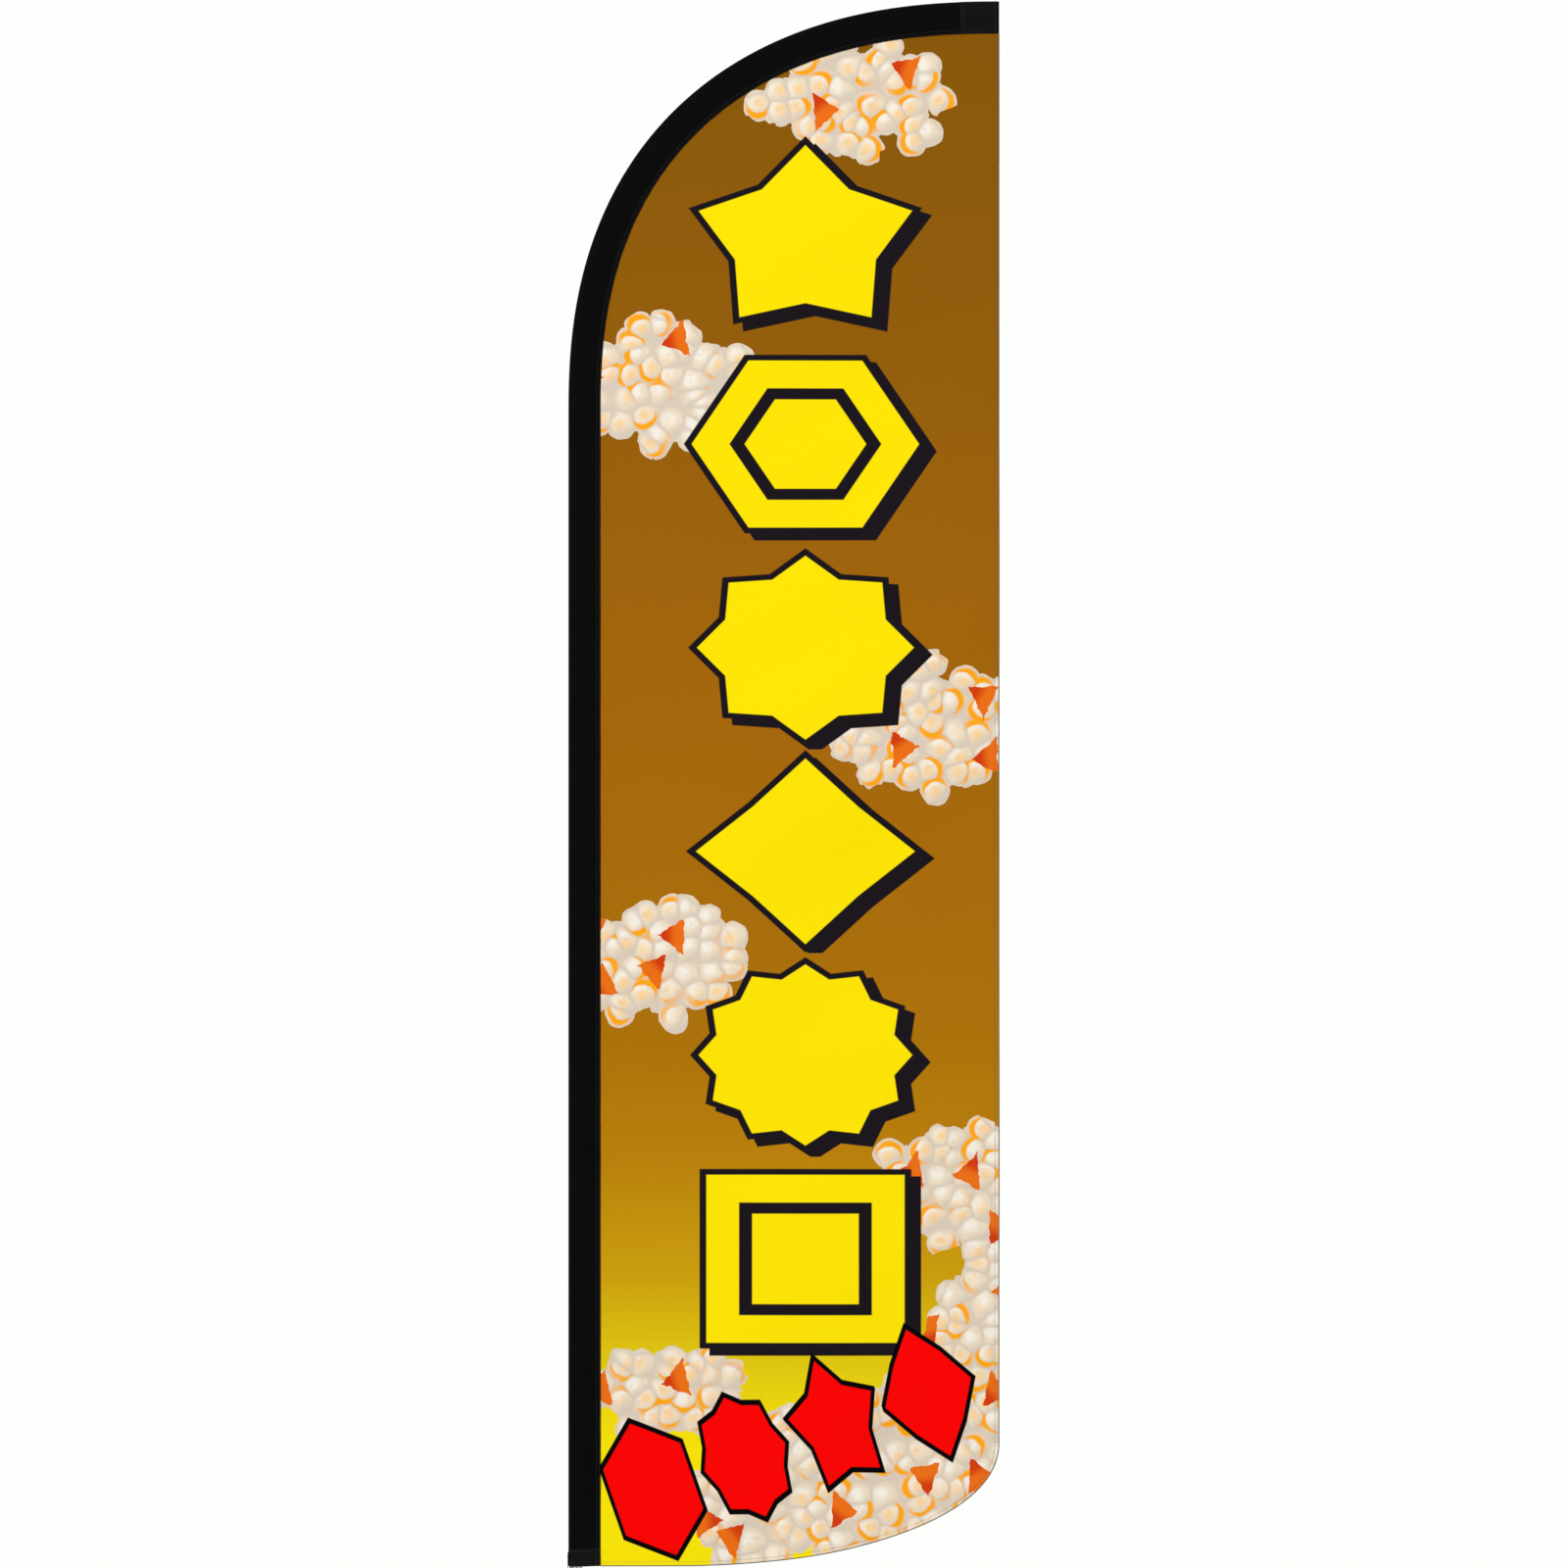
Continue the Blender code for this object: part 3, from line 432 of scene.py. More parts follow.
# %% Where the clusters are
LUMP = 0.050  # spacing of the lumps
LUMP_REACH = 0.70  # of a lump from its own point, in spacings
CLUSTERS = [  # middle (across, up), and half its size
    ((0.640, 3.290), (0.215, 0.130)),
    ((0.215, 2.650), (0.200, 0.145)),
    ((0.815, 1.885), (0.215, 0.145)),
    ((0.205, 1.355), (0.200, 0.140)),
    ((0.860, 0.855), (0.190, 0.140)),
    ((0.955, 0.640), (0.070, 0.120)),
    ((0.875, 0.420), (0.120, 0.210)),
    ((0.220, 0.395), (0.190, 0.100)),
    ((0.480, 0.200), (0.200, 0.140)),
    ((0.720, 0.265), (0.235, 0.165)),
    ((0.400, 0.080), (0.120, 0.075)),
    ((0.690, 0.110), (0.180, 0.090)),
    ((0.880, 0.230), (0.110, 0.110)),
]


def in_cluster(spot):
    """1 inside any of the clusters' ellipses and 0 outside."""
    nearest = None
    for (across, up), (half_across, half_up) in CLUSTERS:
        stretched = spot * (1 / half_across, 1 / half_up, 1.0) - (across / half_across, up / half_up, 0.0)
        off = stretched.look.add("ShaderNodeVectorMath", {"operation": "LENGTH"}, [stretched])["Value"]
        nearest = off if nearest is None else smaller(nearest, off)
    return nearest < 1.0


# %% Stars, for chips and badges
GROOVE = 0.025  # between a badge's rim and its core


def wedge_sizes(points, waist):
    """What a star's sum needs: its wedge's angle, and the direction square to the side of one of its points.
    The waist is the inner radius as a share of the outer one."""
    wedge = math.tau / points
    run, climb = 1 - waist * math.cos(wedge / 2), waist * math.sin(wedge / 2)
    return wedge, climb / math.hypot(run, climb), run / math.hypot(run, climb)


def star_distance(x, y, reach, wedge, square_x, square_y, turn, band):
    """How far a spot is outside a star, and less than 0 inside it. Every point of a star is alike, so the
    spot is turned into one wedge and folded over its middle, and then one straight side is all there is to
    measure. A band keeps that width of the star along its edge, and inside it, past a groove, a core."""
    far = maths("SQRT", x * x + y * y)
    turned = maths("ARCTAN2", y, x) - turn
    folded = abs(maths("FRACT", turned / wedge + 0.5) - 0.5) * wedge
    outside = (far * maths("COSINE", folded) - reach) * square_x + far * maths("SINE", folded) * square_y
    rim = larger(outside, -(outside + band))
    return smaller(rim, outside + band + GROOVE)


# %% The lumps
CREAM, WHITE_LUMP = ink(239, 221, 196), ink(249, 241, 229)
CREASE = ink(201, 188, 179)
PEACH, ORANGE = ink(253, 210, 150), ink(254, 168, 22)
CHIP, CHIP_EDGE = ink(238, 112, 22), ink(213, 62, 12)


def scattered(look, spot, spacing, feature, randomness):
    settings = {"voronoi_dimensions": "2D", "feature": feature}
    sockets = {"Vector": spot, "Scale": 1 / spacing, "Randomness": randomness}
    return look.add("ShaderNodeTexVoronoi", settings, sockets)


def length_of(vector):
    return vector.look.add("ShaderNodeVectorMath", {"operation": "LENGTH"}, [vector])["Value"]


def chosen(share, first, second):
    """The second where the share is 1, for vectors."""
    return first + (second - first) * share


def lump_colour(look, spot, local, far, tint, border):
    """One lump: a white crown on cream, some with a peach heart, shaded below and in the creases, and here
    and there an orange crescent of hull. The warm ones keep together, as they do in a real heap."""
    parts = look.add("ShaderNodeSeparateColor", None, [tint])
    peachy, crescent, aim = parts[0], parts[1], parts[2] * math.tau
    shift = joined(look, maths("COSINE", aim), maths("SINE", aim))
    warm = rise(noise(look, spot, 5.5, 0.0)["Fac"], 0.31, 0.45)
    x, y, _ = split(local)
    colour = mixed(fall(length_of(local - (-0.12, 0.16, 0.0)), 0.12, 0.46), CREAM, WHITE_LUMP)
    heart = fall(length_of(local - shift * 0.12), 0.08, 0.42) * (peachy > 0.22) * warm
    colour = mixed(heart * 0.9, colour, PEACH)
    crease = larger(fall(border, 0.0, 0.30) * 0.55, rise(far, 0.48, 0.78) * 0.5)
    below = rise(x * 0.5 - y * 0.85, 0.06, 0.52) * 0.55
    mottled = rise(noise(look, spot, 75.0, 2.0)["Fac"], 0.50, 0.72) * 0.28
    colour = mixed(larger(larger(crease, below), mottled), colour, CREASE)
    sliver = rise(length_of(local - shift * 0.24), 0.50, 0.60) * fall(far, 0.50, 0.66)
    return mixed(sliver * (crescent > 0.30) * warm, colour, ORANGE)


CHIP_SPACING = 0.175
CHIP_REACH = 0.050


def wander(look, spot, scale):
    """A small wandering vector, to make outlines uneven."""
    colour = noise(look, spot, scale, 1.0)["Color"]
    return look.add("ShaderNodeVectorMath", {"operation": "SUBTRACT"}, [colour, 0.5])[0]


def popcorn(look, spot):
    """The popcorn's colour, and where it is."""
    wandering = spot + wander(look, spot, 9.0) * 0.020 + wander(look, spot, 42.0) * 0.007
    first = scattered(look, wandering, LUMP, "F1", 0.85)
    second = scattered(look, wandering, LUMP, "F2", 0.85)
    here, near = in_cluster(first["Position"]), in_cluster(second["Position"])
    shown_first = here * (first["Distance"] < LUMP_REACH)
    shown_second = near * (second["Distance"] < LUMP_REACH)
    shown = larger(larger(shown_first, shown_second), here * near)
    centre = chosen(here, second["Position"], first["Position"])
    far = second["Distance"] + (first["Distance"] - second["Distance"]) * here
    tint = mixed(here, second["Color"], first["Color"])
    border = second["Distance"] - first["Distance"]
    colour = lump_colour(look, spot, (wandering - centre) * (1 / LUMP), far, tint, border)
    return chips(look, spot, colour), shown


def chips(look, spot, colour):
    """A three-cornered chip here and there, darker along one side."""
    found = scattered(look, spot, CHIP_SPACING, "F1", 0.75)
    x, y, _ = split(spot - found["Position"])
    turn = look.add("ShaderNodeSeparateColor", None, [found["Color"]])[0] * math.tau
    wedge, square_x, square_y = wedge_sizes(3, 0.48)
    wavy = noise(look, spot, 60.0, 1.0)["Fac"] * 0.014 - 0.003
    off = star_distance(x * 1.25, y, CHIP_REACH, wedge, square_x, square_y, turn, 1.0) + wavy
    shade = rise(x * maths("COSINE", turn) + y * maths("SINE", turn), -0.004, 0.022)
    there = (off < 0.004) * in_cluster(found["Position"])
    return mixed(there, colour, mixed(shade, CHIP, CHIP_EDGE))


# %% [markdown]
# ## The print: badges
# Down the middle runs a column of six big yellow badges with a black outline and a dropped shadow, and four
# red ones climb across the foot. They are plain stars, bursts, diamonds and hexagons, and each is the same
# star sum with other numbers. The row that a spot is in picks the numbers.

# %% The badges' shapes
TOP_POINT = math.pi / 2  # turns a star so that one point is at the top
COLUMN_ACROSS = 0.531
TOP_ROW_UP, ROW_PITCH = 2.970, 0.4563
SOLID = 1.0  # a band so wide that nothing is left out

#           points, reach, waist, turn, band
YELLOW_BADGES = [
    (5, 0.213, 0.66, TOP_POINT, SOLID),
    (6, 0.216, math.cos(math.pi / 6), 0.0, 0.062),
    (8, 0.206, 0.80, TOP_POINT, SOLID),
    (4, 0.208, 0.68, TOP_POINT, SOLID),
    (12, 0.203, 0.86, 0.0, SOLID),
    (4, 0.266, math.cos(math.pi / 4), math.pi / 4, 0.062),
]
RED_BADGES = [
    (6, 0.156, math.cos(math.pi / 6), TOP_POINT, SOLID),
    (8, 0.141, 0.86, 0.0, SOLID),
    (5, 0.152, 0.66, TOP_POINT, SOLID),
    (4, 0.150, 0.76, TOP_POINT, SOLID),
]
RED_START, RED_END = (0.190, 0.172), (0.806, 0.388)
YELLOW_WIDE = 1.18  # how much wider than tall the yellow ones are
RED_NARROW = 1.48  # how much taller than wide the red ones are
OUTLINE = 0.013
SOFT_EDGE = 0.0012  # how far the ink creeps
SHADOW = (0.022, -0.016)


def picked(index, badges):
    """The numbers of the badge in this row, as a sum of all the rows with one of them switched on."""
    rows = [(reach, *wedge_sizes(points, waist), turn, band) for points, reach, waist, turn, band in badges]
    switches = [maths("COMPARE", index, float(row), 0.25) for row in range(len(badges))]
    sums = []
    for column in zip(*rows):
        total = 0.0
        for switch, value in zip(switches, column):
            total = maths("MULTIPLY_ADD", switch, value, total)
        sums.append(total)
    return sums


def row_of(place, last):
    return smaller(larger(maths("ROUND", place), 0.0), float(last))


def inked(off, edge=0.0):
    """Where a distance is inside an edge, a little soft, as ink on cloth is."""
    return fall(off, edge - SOFT_EDGE, edge + SOFT_EDGE)


BLACK_INK, RED_BORDER_INK = ink(27, 21, 27), ink(6, 3, 5)
YELLOW_INK, RED_INK = ink(255, 229, 2), ink(255, 1, 1)


def yellow_column(across, up, colour):
    row = row_of((TOP_ROW_UP - up) / ROW_PITCH, len(YELLOW_BADGES) - 1)
    x, y = across - COLUMN_ACROSS, up - (TOP_ROW_UP - row * ROW_PITCH)
    numbers = picked(row, YELLOW_BADGES)
    face = star_distance(x * (1 / YELLOW_WIDE), y, *numbers)
    shadow = star_distance((x - SHADOW[0]) * (1 / YELLOW_WIDE), y - SHADOW[1], *numbers)
    colour = mixed(inked(smaller(face, shadow), OUTLINE), colour, BLACK_INK)
    return mixed(inked(face), colour, YELLOW_INK)


def red_row(across, up, colour):
    run, climb = RED_END[0] - RED_START[0], RED_END[1] - RED_START[1]
    length, last = math.hypot(run, climb), len(RED_BADGES) - 1
    from_x, from_y = across - RED_START[0], up - RED_START[1]
    along = (from_x * run + from_y * climb) * (1 / length)
    aside = (from_y * run - from_x * climb) * (1 / length)
    row = row_of(along * (last / length), last)
    x = (along - row * (length / last)) * RED_NARROW
    off = star_distance(x, aside, *picked(row, RED_BADGES))
    colour = mixed(inked(off, OUTLINE), colour, RED_BORDER_INK)
    return mixed(inked(off), colour, RED_INK)


# %% [markdown]
# ## Cloth finishes
# The flag is knitted polyester printed right through, so the same picture shows on both faces. Knitted
# cloth has almost no gloss, a faint fuzz, and rows of tiny loops that only a close look shows. The black
# sleeve is the same cloth, heavier and not printed.

# %% The knit
LOOP_WIDTH, LOOP_HEIGHT = 0.0013, 0.0017


def knit(x, z, depth=0.00012):
    """A normal with rows of little loops: columns of humps, each row half a loop along."""
    look = x.look
    rows = maths("SINE", z * (math.tau / LOOP_HEIGHT))
    columns = maths("SINE", x * (math.tau / LOOP_WIDTH) + rows * 1.2)
    return bumped(look, (rows * columns) * 0.5 + 0.5, depth, 0.5)


def printed_cloth(name):
    look = Look(name)
    place = place_on(look)
    x, _, z = split(place)
    across, up = x - LUFF_X, z - FOOT_Z
    spot = joined(look, across, up)
    colour = ground_colour(look, up)
    kernels, shown = popcorn(look, spot)
    colour = mixed(shown, colour, kernels)
    colour = yellow_column(across, up, colour)
    colour = red_row(across, up, colour)
    cloudy = noise(look, place, 7.0, 3.0)["Fac"]
    colour = mixed(rise(cloudy, 0.35, 0.75) * 0.035, colour, (0.5, 0.5, 0.5), "SOFT_LIGHT")
    rough = 0.74 + noise(look, place, 240.0, 1.0)["Fac"] * 0.12
    look.feed(look.shader.inputs["Specular IOR Level"], 0.03)
    return look.finish(Base_Color=colour, Roughness=rough, Normal=knit(x, z))


PRINTED_CLOTH = printed_cloth("printed_flag_cloth")
print("the print uses", len(PRINTED_CLOTH.node_tree.nodes), "nodes")


def plain_cloth(name, colour, wear_and_highlight, depth=0.00016, gloss=0.05):
    """Unprinted cloth, with paler fuzz where it has rubbed."""
    look = Look(name)
    place = place_on(look)
    x, y, z = split(place)
    rubbed = rise(noise(look, place, 38.0, 4.0, 0.62)["Fac"], 0.52, 0.74) * 0.5
    rough = 0.82 + noise(look, place, 300.0, 1.0)["Fac"] * 0.1
    look.feed(look.shader.inputs["Specular IOR Level"], gloss)
    look.feed(look.shader.inputs["Sheen Weight"], 0.01)
    return look.finish(Base_Color=mixed(rubbed, colour, wear_and_highlight), Roughness=rough, Normal=knit(x + y, z, depth))


SLEEVE_CLOTH = plain_cloth("black_sleeve_knit", (0.0011, 0.0010, 0.0012), (0.0026, 0.0024, 0.0028))


# %% Webbing, elastic and thread
def ribbed(name, colour, wear_and_highlight, spacing, across_axis, along_pitch, along_axis=2, gloss=0.06):
    """Woven ribs that run the length of a strap, with the weft crossing them, a painted highlight on the rib
    crests and painted shade in the grooves. Axis 0 is X, 1 is Y, 2 is Z.
    """
    look = Look(name)
    place = place_on(look)
    parts = split(place)
    ribs = maths("SINE", parts[across_axis] * (math.tau / spacing))
    weft = maths("SINE", parts[along_axis] * (math.tau / along_pitch) + ribs * 1.5)
    height = rise(ribs, -1.0, 1.0) + weft * 0.22
    fuzz = noise(look, place, 900.0, 2.0)["Fac"]
    # Painted highlight and shade: the paler colour passed in is painted on the rib crests, and the grooves
    # keep the darker one.
    shade = rise(ribs + weft * 0.3, -1.0, 1.1)
    look.feed(look.shader.inputs["Specular IOR Level"], gloss)
    normal = bumped(look, height + fuzz * 0.3, 0.00025)
    return look.finish(Base_Color=mixed(shade, colour, wear_and_highlight), Roughness=0.7 + fuzz * 0.2, Normal=normal)


# Each webbing's second, paler colour is its painted highlight on the rib crests.
CUFF_WEBBING = ribbed("black_cuff_webbing", (0.0020,) * 3, (0.0060,) * 3, 0.0021, 0, 0.0016)
POCKET_CLOTH = ribbed("black_pocket_webbing", (0.0018,) * 3, (0.0048,) * 3, 0.0021, 2, 0.0018, along_axis=0)
ELASTIC = ribbed("black_elastic_webbing", (0.006,) * 3, (0.020,) * 3, 0.0016, 1, 0.0022)


def thread(name, colour, glint):
    """Twisted polyester: fine slanting strands, each with a painted glint where it would catch the light."""
    look = Look(name)
    place = place_on(look)
    x, y, z = split(place)
    strand = maths("SINE", (x + y * 0.8 + z) * (math.tau / 0.0007))
    look.feed(look.shader.inputs["Specular IOR Level"], 0.3)
    # Painted highlight: the glint colour is painted along each strand's crest.
    colours = mixed(rise(strand, -0.6, 1.0), colour, glint)
    normal = bumped(look, strand, 0.00008)
    return look.finish(Base_Color=colours, Roughness=0.55 + strand * 0.08, Normal=normal)


BLACK_THREAD = thread("black_thread", (0.010, 0.010, 0.011), (0.035, 0.035, 0.038))
GREY_THREAD = thread("grey_overlock_thread", ink(74, 70, 66), ink(112, 106, 98))

# %% [markdown]
# ## Meshes from numbers
# Cloth is a skin, so each piece is a grid of points worked out row by row. These helpers turn such a grid,
# or a flat outline with points strewn inside it, into a mesh.


# %% Mesh helpers
def linked(name, points, faces, look, body):
    mesh = bpy.data.meshes.new(name)
    mesh.from_pydata(np.asarray(points).tolist(), [], [list(face) for face in faces])
    mesh.materials.append(look)
    mesh.shade_smooth()
    thing = bpy.data.objects.new(name, mesh)
    bpy.context.scene.collection.objects.link(thing)
    if body:
        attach(thing, body)
    return thing


def grid_faces(rows, columns, around):
    index = np.arange(rows * columns).reshape(rows, columns)
    if around:
        index = np.hstack([index, index[:, :1]])
    corners = [index[:-1, :-1], index[:-1, 1:], index[1:, 1:], index[1:, :-1]]
    return np.stack(corners, axis=-1).reshape(-1, 4).tolist()


def skin(name, rings, look, body, around=True, caps=()):
    """Rows of points, one ring after another, with the first or last ring filled where caps says so."""
    rows, columns = rings.shape[:2]
    faces = grid_faces(rows, columns, around)
    ends = {0: list(range(columns)), -1: list(range((rows - 1) * columns, rows * columns))}
    faces += [ends[cap] for cap in caps]
    thing = linked(name, rings.reshape(-1, 3), faces, look, body)
    facing_out(thing.data)
    return thing


def facing_out(mesh):
    work = bmesh.new()
    work.from_mesh(mesh)
    bmesh.ops.recalc_face_normals(work, faces=work.faces)
    work.to_mesh(mesh)
    work.free()


def filled(outline, inside):
    """Triangles over a closed outline with the inner points used too: (points, faces)."""
    count = len(outline)
    rim = [(i, (i + 1) % count) for i in range(count)]
    spots = [Vector(point) for point in (*outline, *inside)]
    points, _, faces, *_ = delaunay_2d_cdt(spots, rim, [], 1, 1e-6)
    return np.array([tuple(point) for point in points]), faces


def thicken(thing, thickness, offset=0.0):
    modifier = thing.modifiers.new("thickness", "SOLIDIFY")
    modifier.thickness, modifier.offset = thickness, offset


FLAG_BODY = "upper_pole_and_flag"

# %% [markdown]
# ## How the cloth hangs
# The sleeve holds the flag taut along the pole, so the cloth lies flat there and is free to wave further
# out. Its sway is a few broad waves that grow with the distance from the seam, some folds that fan out from
# the lower corner where the strap pulls, and close to the seam the small puckers that a sewing machine
# leaves.

# %% Sway and puckers
SEAM_RUNS = np.arange(FOOT_Z, RUN_END + 0.002, 0.004)
SEAM_RUNS[-1] = RUN_END
luff_points, luff_inward = luff(SEAM_RUNS)
SEAM = luff_points + SLEEVE_WIDTH * luff_inward


def from_seam(spots):
    """Each spot's distance from the seam, and the run of the seam's nearest point."""
    distances, runs = [], []
    for part in np.array_split(spots, max(1, len(spots) // 2000)):
        square = ((part[:, None, :] - SEAM[None, :, :]) ** 2).sum(axis=2)
        nearest = square.argmin(axis=1)
        distances.append(np.sqrt(square[np.arange(len(part)), nearest]))
        runs.append(SEAM_RUNS[nearest])
    return np.concatenate(distances), np.concatenate(runs)


def wave(phase):
    return np.sin(math.tau * phase)


PUCKER = 0.0006


def pucker(run, away):
    """The seam's gathers, in metres along Y, which fade a few centimetres away from it on either side."""
    gather = wave(run / 0.031 + 0.35 * wave(run / 0.21)) * (0.6 + 0.4 * wave(run / 0.47))
    return PUCKER * gather * np.exp(-np.abs(away) / 0.018)


def sway(x, z):
    """How far the cloth stands off the flag's plane."""
    spots = np.stack([np.ravel(x), np.ravel(z)], axis=1)
    away, run = from_seam(spots)
    x, z = spots.T
    free = 1 - np.exp(-((away / 0.34) ** 2))
    broad = 0.0100 * wave(z / 1.22 - 0.62 * x + 0.10) + 0.0048 * wave(z / 0.61 + 0.95 * x + 0.35)
    small = 0.0017 * wave(z / 0.27 - 1.9 * x + 0.6)
    loose_foot = 0.0050 * np.exp(-(z - FOOT_Z) / 0.30) * wave(x / 0.36 + 0.2)
    angle, reach = np.arctan2(z - FOOT_Z, x - SEAM_X), np.hypot(x - SEAM_X, z - FOOT_Z)
    pulled = 0.0016 * wave(angle * 2.6 + 0.15) * np.exp(-reach / 0.55) * rise_of(reach, 0.03, 0.25)
    return free * (broad + small + loose_foot) + pulled + pucker(run, away)


def rise_of(values, low, high):
    share = np.clip((values - low) / (high - low), 0, 1)
    return share * share * (3 - 2 * share)


# %% [markdown]
# ## The flag cloth
# Its cut is not a rectangle, so a plain grid would leave ragged edges on the bow and the corner. Instead
# the outline is followed exactly, rows of points run beside the seam where the puckers are, the rest is
# strewn evenly, and Blender's triangulation joins them up.

# %% The cut
TUCK = 0.006  # of the cloth between the sleeve's two layers
HEM_TURN = 0.0015  # the cloth's edge lies this far inside the hem
CLOTH_STEP = 0.011
BAND_ROWS = (0.004, 0.009, 0.015, 0.022, 0.030, 0.040)
SHEET_THICKNESS = 0.0009


def seam_line(offset, spacing):
    runs = np.linspace(FOOT_Z, RUN_END, round((RUN_END - FOOT_Z) / spacing))
    points, inward = luff(runs)
    return points + (SLEEVE_WIDTH + offset) * inward


def cloth_outline():
    """Up the seam and over the bow, then down the fly edge, round the corner and back along the foot."""
    edge, _ = free_edge(HEM_TURN)
    edge = at(even(edge, CLOTH_STEP), lengths_along(edge), edge)
    left = seam_line(-TUCK, 0.005)
    left = left[(left[:, 1] > FOOT_Z + HEM_TURN) & (left[:, 0] < FLY_X - HEM_TURN)]
    return np.concatenate([left, edge])


def cloth_points():
    """Rows beside the seam, and an even scatter over the rest."""
    rows = [seam_line(offset, 0.005) for offset in BAND_ROWS]
    xs = np.arange(SEAM_X, FLY_X, CLOTH_STEP)
    zs = np.arange(FOOT_Z, TOP_Z, CLOTH_STEP * math.sqrt(3) / 2)
    x, z = np.meshgrid(xs, zs)
    x = x + (np.arange(len(zs)) % 2)[:, None] * CLOTH_STEP / 2
    strewn = np.stack([x.ravel(), z.ravel()], axis=1)
    away, _ = from_seam(strewn)
    strewn = strewn[away > BAND_ROWS[-1] + CLOTH_STEP / 2]
    spots = np.concatenate([*rows, strewn])
    return spots[well_inside(spots)]


def well_inside(spots, margin=0.005):
    """Whether each spot is inside the cut and clear of its edge."""
    x, z = spots.T
    left = np.interp(z, SEAM[:, 1], SEAM[:, 0])
    right = np.full(len(z), FLY_X)
    low = z < BEND_Z
    right[low] = np.interp(z[low], CORNER[::-1, 1], CORNER[::-1, 0])
    edge = free_edge()[0]
    edge = at(even(edge, 0.004), lengths_along(edge), edge)
    clear = np.ones(len(spots), bool)
    near = np.flatnonzero((right - x < 0.3) | (z < BEND_Z))
    for part in np.array_split(near, max(1, len(near) // 2000)):
        square = ((spots[part][:, None, :] - edge[None, :, :]) ** 2).sum(axis=2).min(axis=1)
        clear[part] = square > (margin + HEM_TURN) ** 2
    return clear & (x > left + 0.002) & (x < right) & (z > FOOT_Z)


MAP_GAP = 0.02  # left empty between the two halves and round them


def bake_map(mesh, low, high):
    """A map for baking: the tall strip is cut at half its height and the two halves lie side by
    side. Both faces of the cloth share it, because the print goes right through."""
    width, half = high[0] - low[0], (high[1] - low[1]) / 2
    size = max(2 * width, half) + 2 * MAP_GAP
    count = len(mesh.loops)
    corner_vertex = np.empty(count, np.int32)
    mesh.loops.foreach_get("vertex_index", corner_vertex)
    points = np.empty(len(mesh.vertices) * 3, np.float32)
    mesh.vertices.foreach_get("co", points)
    corners = points.reshape(-1, 3)[corner_vertex][:, [0, 2]]
    starts, totals = np.empty(len(mesh.polygons), np.int32), np.empty(len(mesh.polygons), np.int32)
    mesh.polygons.foreach_get("loop_start", starts)
    mesh.polygons.foreach_get("loop_total", totals)
    middles = np.add.reduceat(corners[:, 1], starts) / totals
    upper = np.repeat(middles > low[1] + half, totals)
    u = corners[:, 0] - low[0] + MAP_GAP / 2 + upper * (width + MAP_GAP)
    v = corners[:, 1] - low[1] + MAP_GAP - upper * half
    layer = mesh.uv_layers.new(name="OFBake")
    layer.data.foreach_set("uv", np.stack([u / size, v / size], axis=1).astype(np.float32).ravel())


def flag_cloth():
    outline = cloth_outline()
    flat, faces = filled(outline, cloth_points())
    hung = np.stack([flat[:, 0], sway(flat[:, 0], flat[:, 1]), flat[:, 1]], axis=1)
    cloth = linked("flag_cloth", hung, faces, PRINTED_CLOTH, FLAG_BODY)
    facing_out(cloth.data)
    bake_map(cloth.data, flat.min(axis=0), flat.max(axis=0))
    thicken(cloth, SHEET_THICKNESS)
    x, z = outline.T
    area = abs(np.dot(x, np.roll(z, 1)) - np.dot(z, np.roll(x, 1))) / 2
    print("flag cloth:", len(faces), "triangles,", round(area, 3), "square metres")
    print("it sways from", round(hung[:, 1].min(), 4), "to", round(hung[:, 1].max(), 4))
    return cloth, np.ptp(flat, axis=0), area


cloth, cloth_size, cloth_area = flag_cloth()
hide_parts("flag_panel")

# %% [markdown]
# ## Hems and stitches
# The free edges are turned over twice and sewn down, which makes a band three layers thick, and a dark
# overlock thread binds the very edge. Each is a small section swept along the edge. A stitch is a short
# spindle, and thousands of them are copied along a line by one sum.

# %% Sweeping along the free edge
HEM_WIDTH = 0.012
HEM_HALF = 0.00115
HEM_STEP = 0.006
HEM_WRINKLE = 0.0003


def along_free_edge(start, end, spacing, section, wrinkle=0.0):
    """Rings round the free edge between two lengths along it. A section's points are (inwards, along Y)."""
    points, inward = free_edge()
    known = lengths_along(points)
    places = np.linspace(start, end, max(2, round((end - start) / spacing) + 1))
    centres, square = at(places, known, points), at(places, known, inward)
    section = np.asarray(section, float)
    x = centres[:, :1] + section[:, 0] * square[:, :1]
    z = centres[:, 1:] + section[:, 0] * square[:, 1:]
    ease = wrinkle * wave(places / 0.027 + 0.3 * wave(places / 0.17))[:, None] * (section[:, 0] / HEM_WIDTH)
    y = sway(x, z).reshape(x.shape) + section[:, 1] + ease
    return np.stack([x, y, z], axis=-1)


free_points, _ = free_edge()
FREE_LENGTH = lengths_along(free_points)[-1]
FLY_LENGTH = lengths_along(free_points)[1]  # down to where the corner starts


def hem_section():
    """A flattened ring: round at the fold, level over the layers, and stepped down to the cloth."""
    side = [(0.0004, 0.0007), (0.0014, HEM_HALF), (0.006, HEM_HALF), (0.0108, HEM_HALF), (HEM_WIDTH, 0.0006)]
    return [(0.0, 0.0), *side, *[(u, -v) for u, v in side[::-1]]]


def thread_section(centre=0.0008, half_width=0.0014, half_height=0.0016, sides=10):
    angles = math.tau * np.arange(sides) / sides
    return [(centre + half_width * math.cos(a), half_height * math.sin(a)) for a in angles]


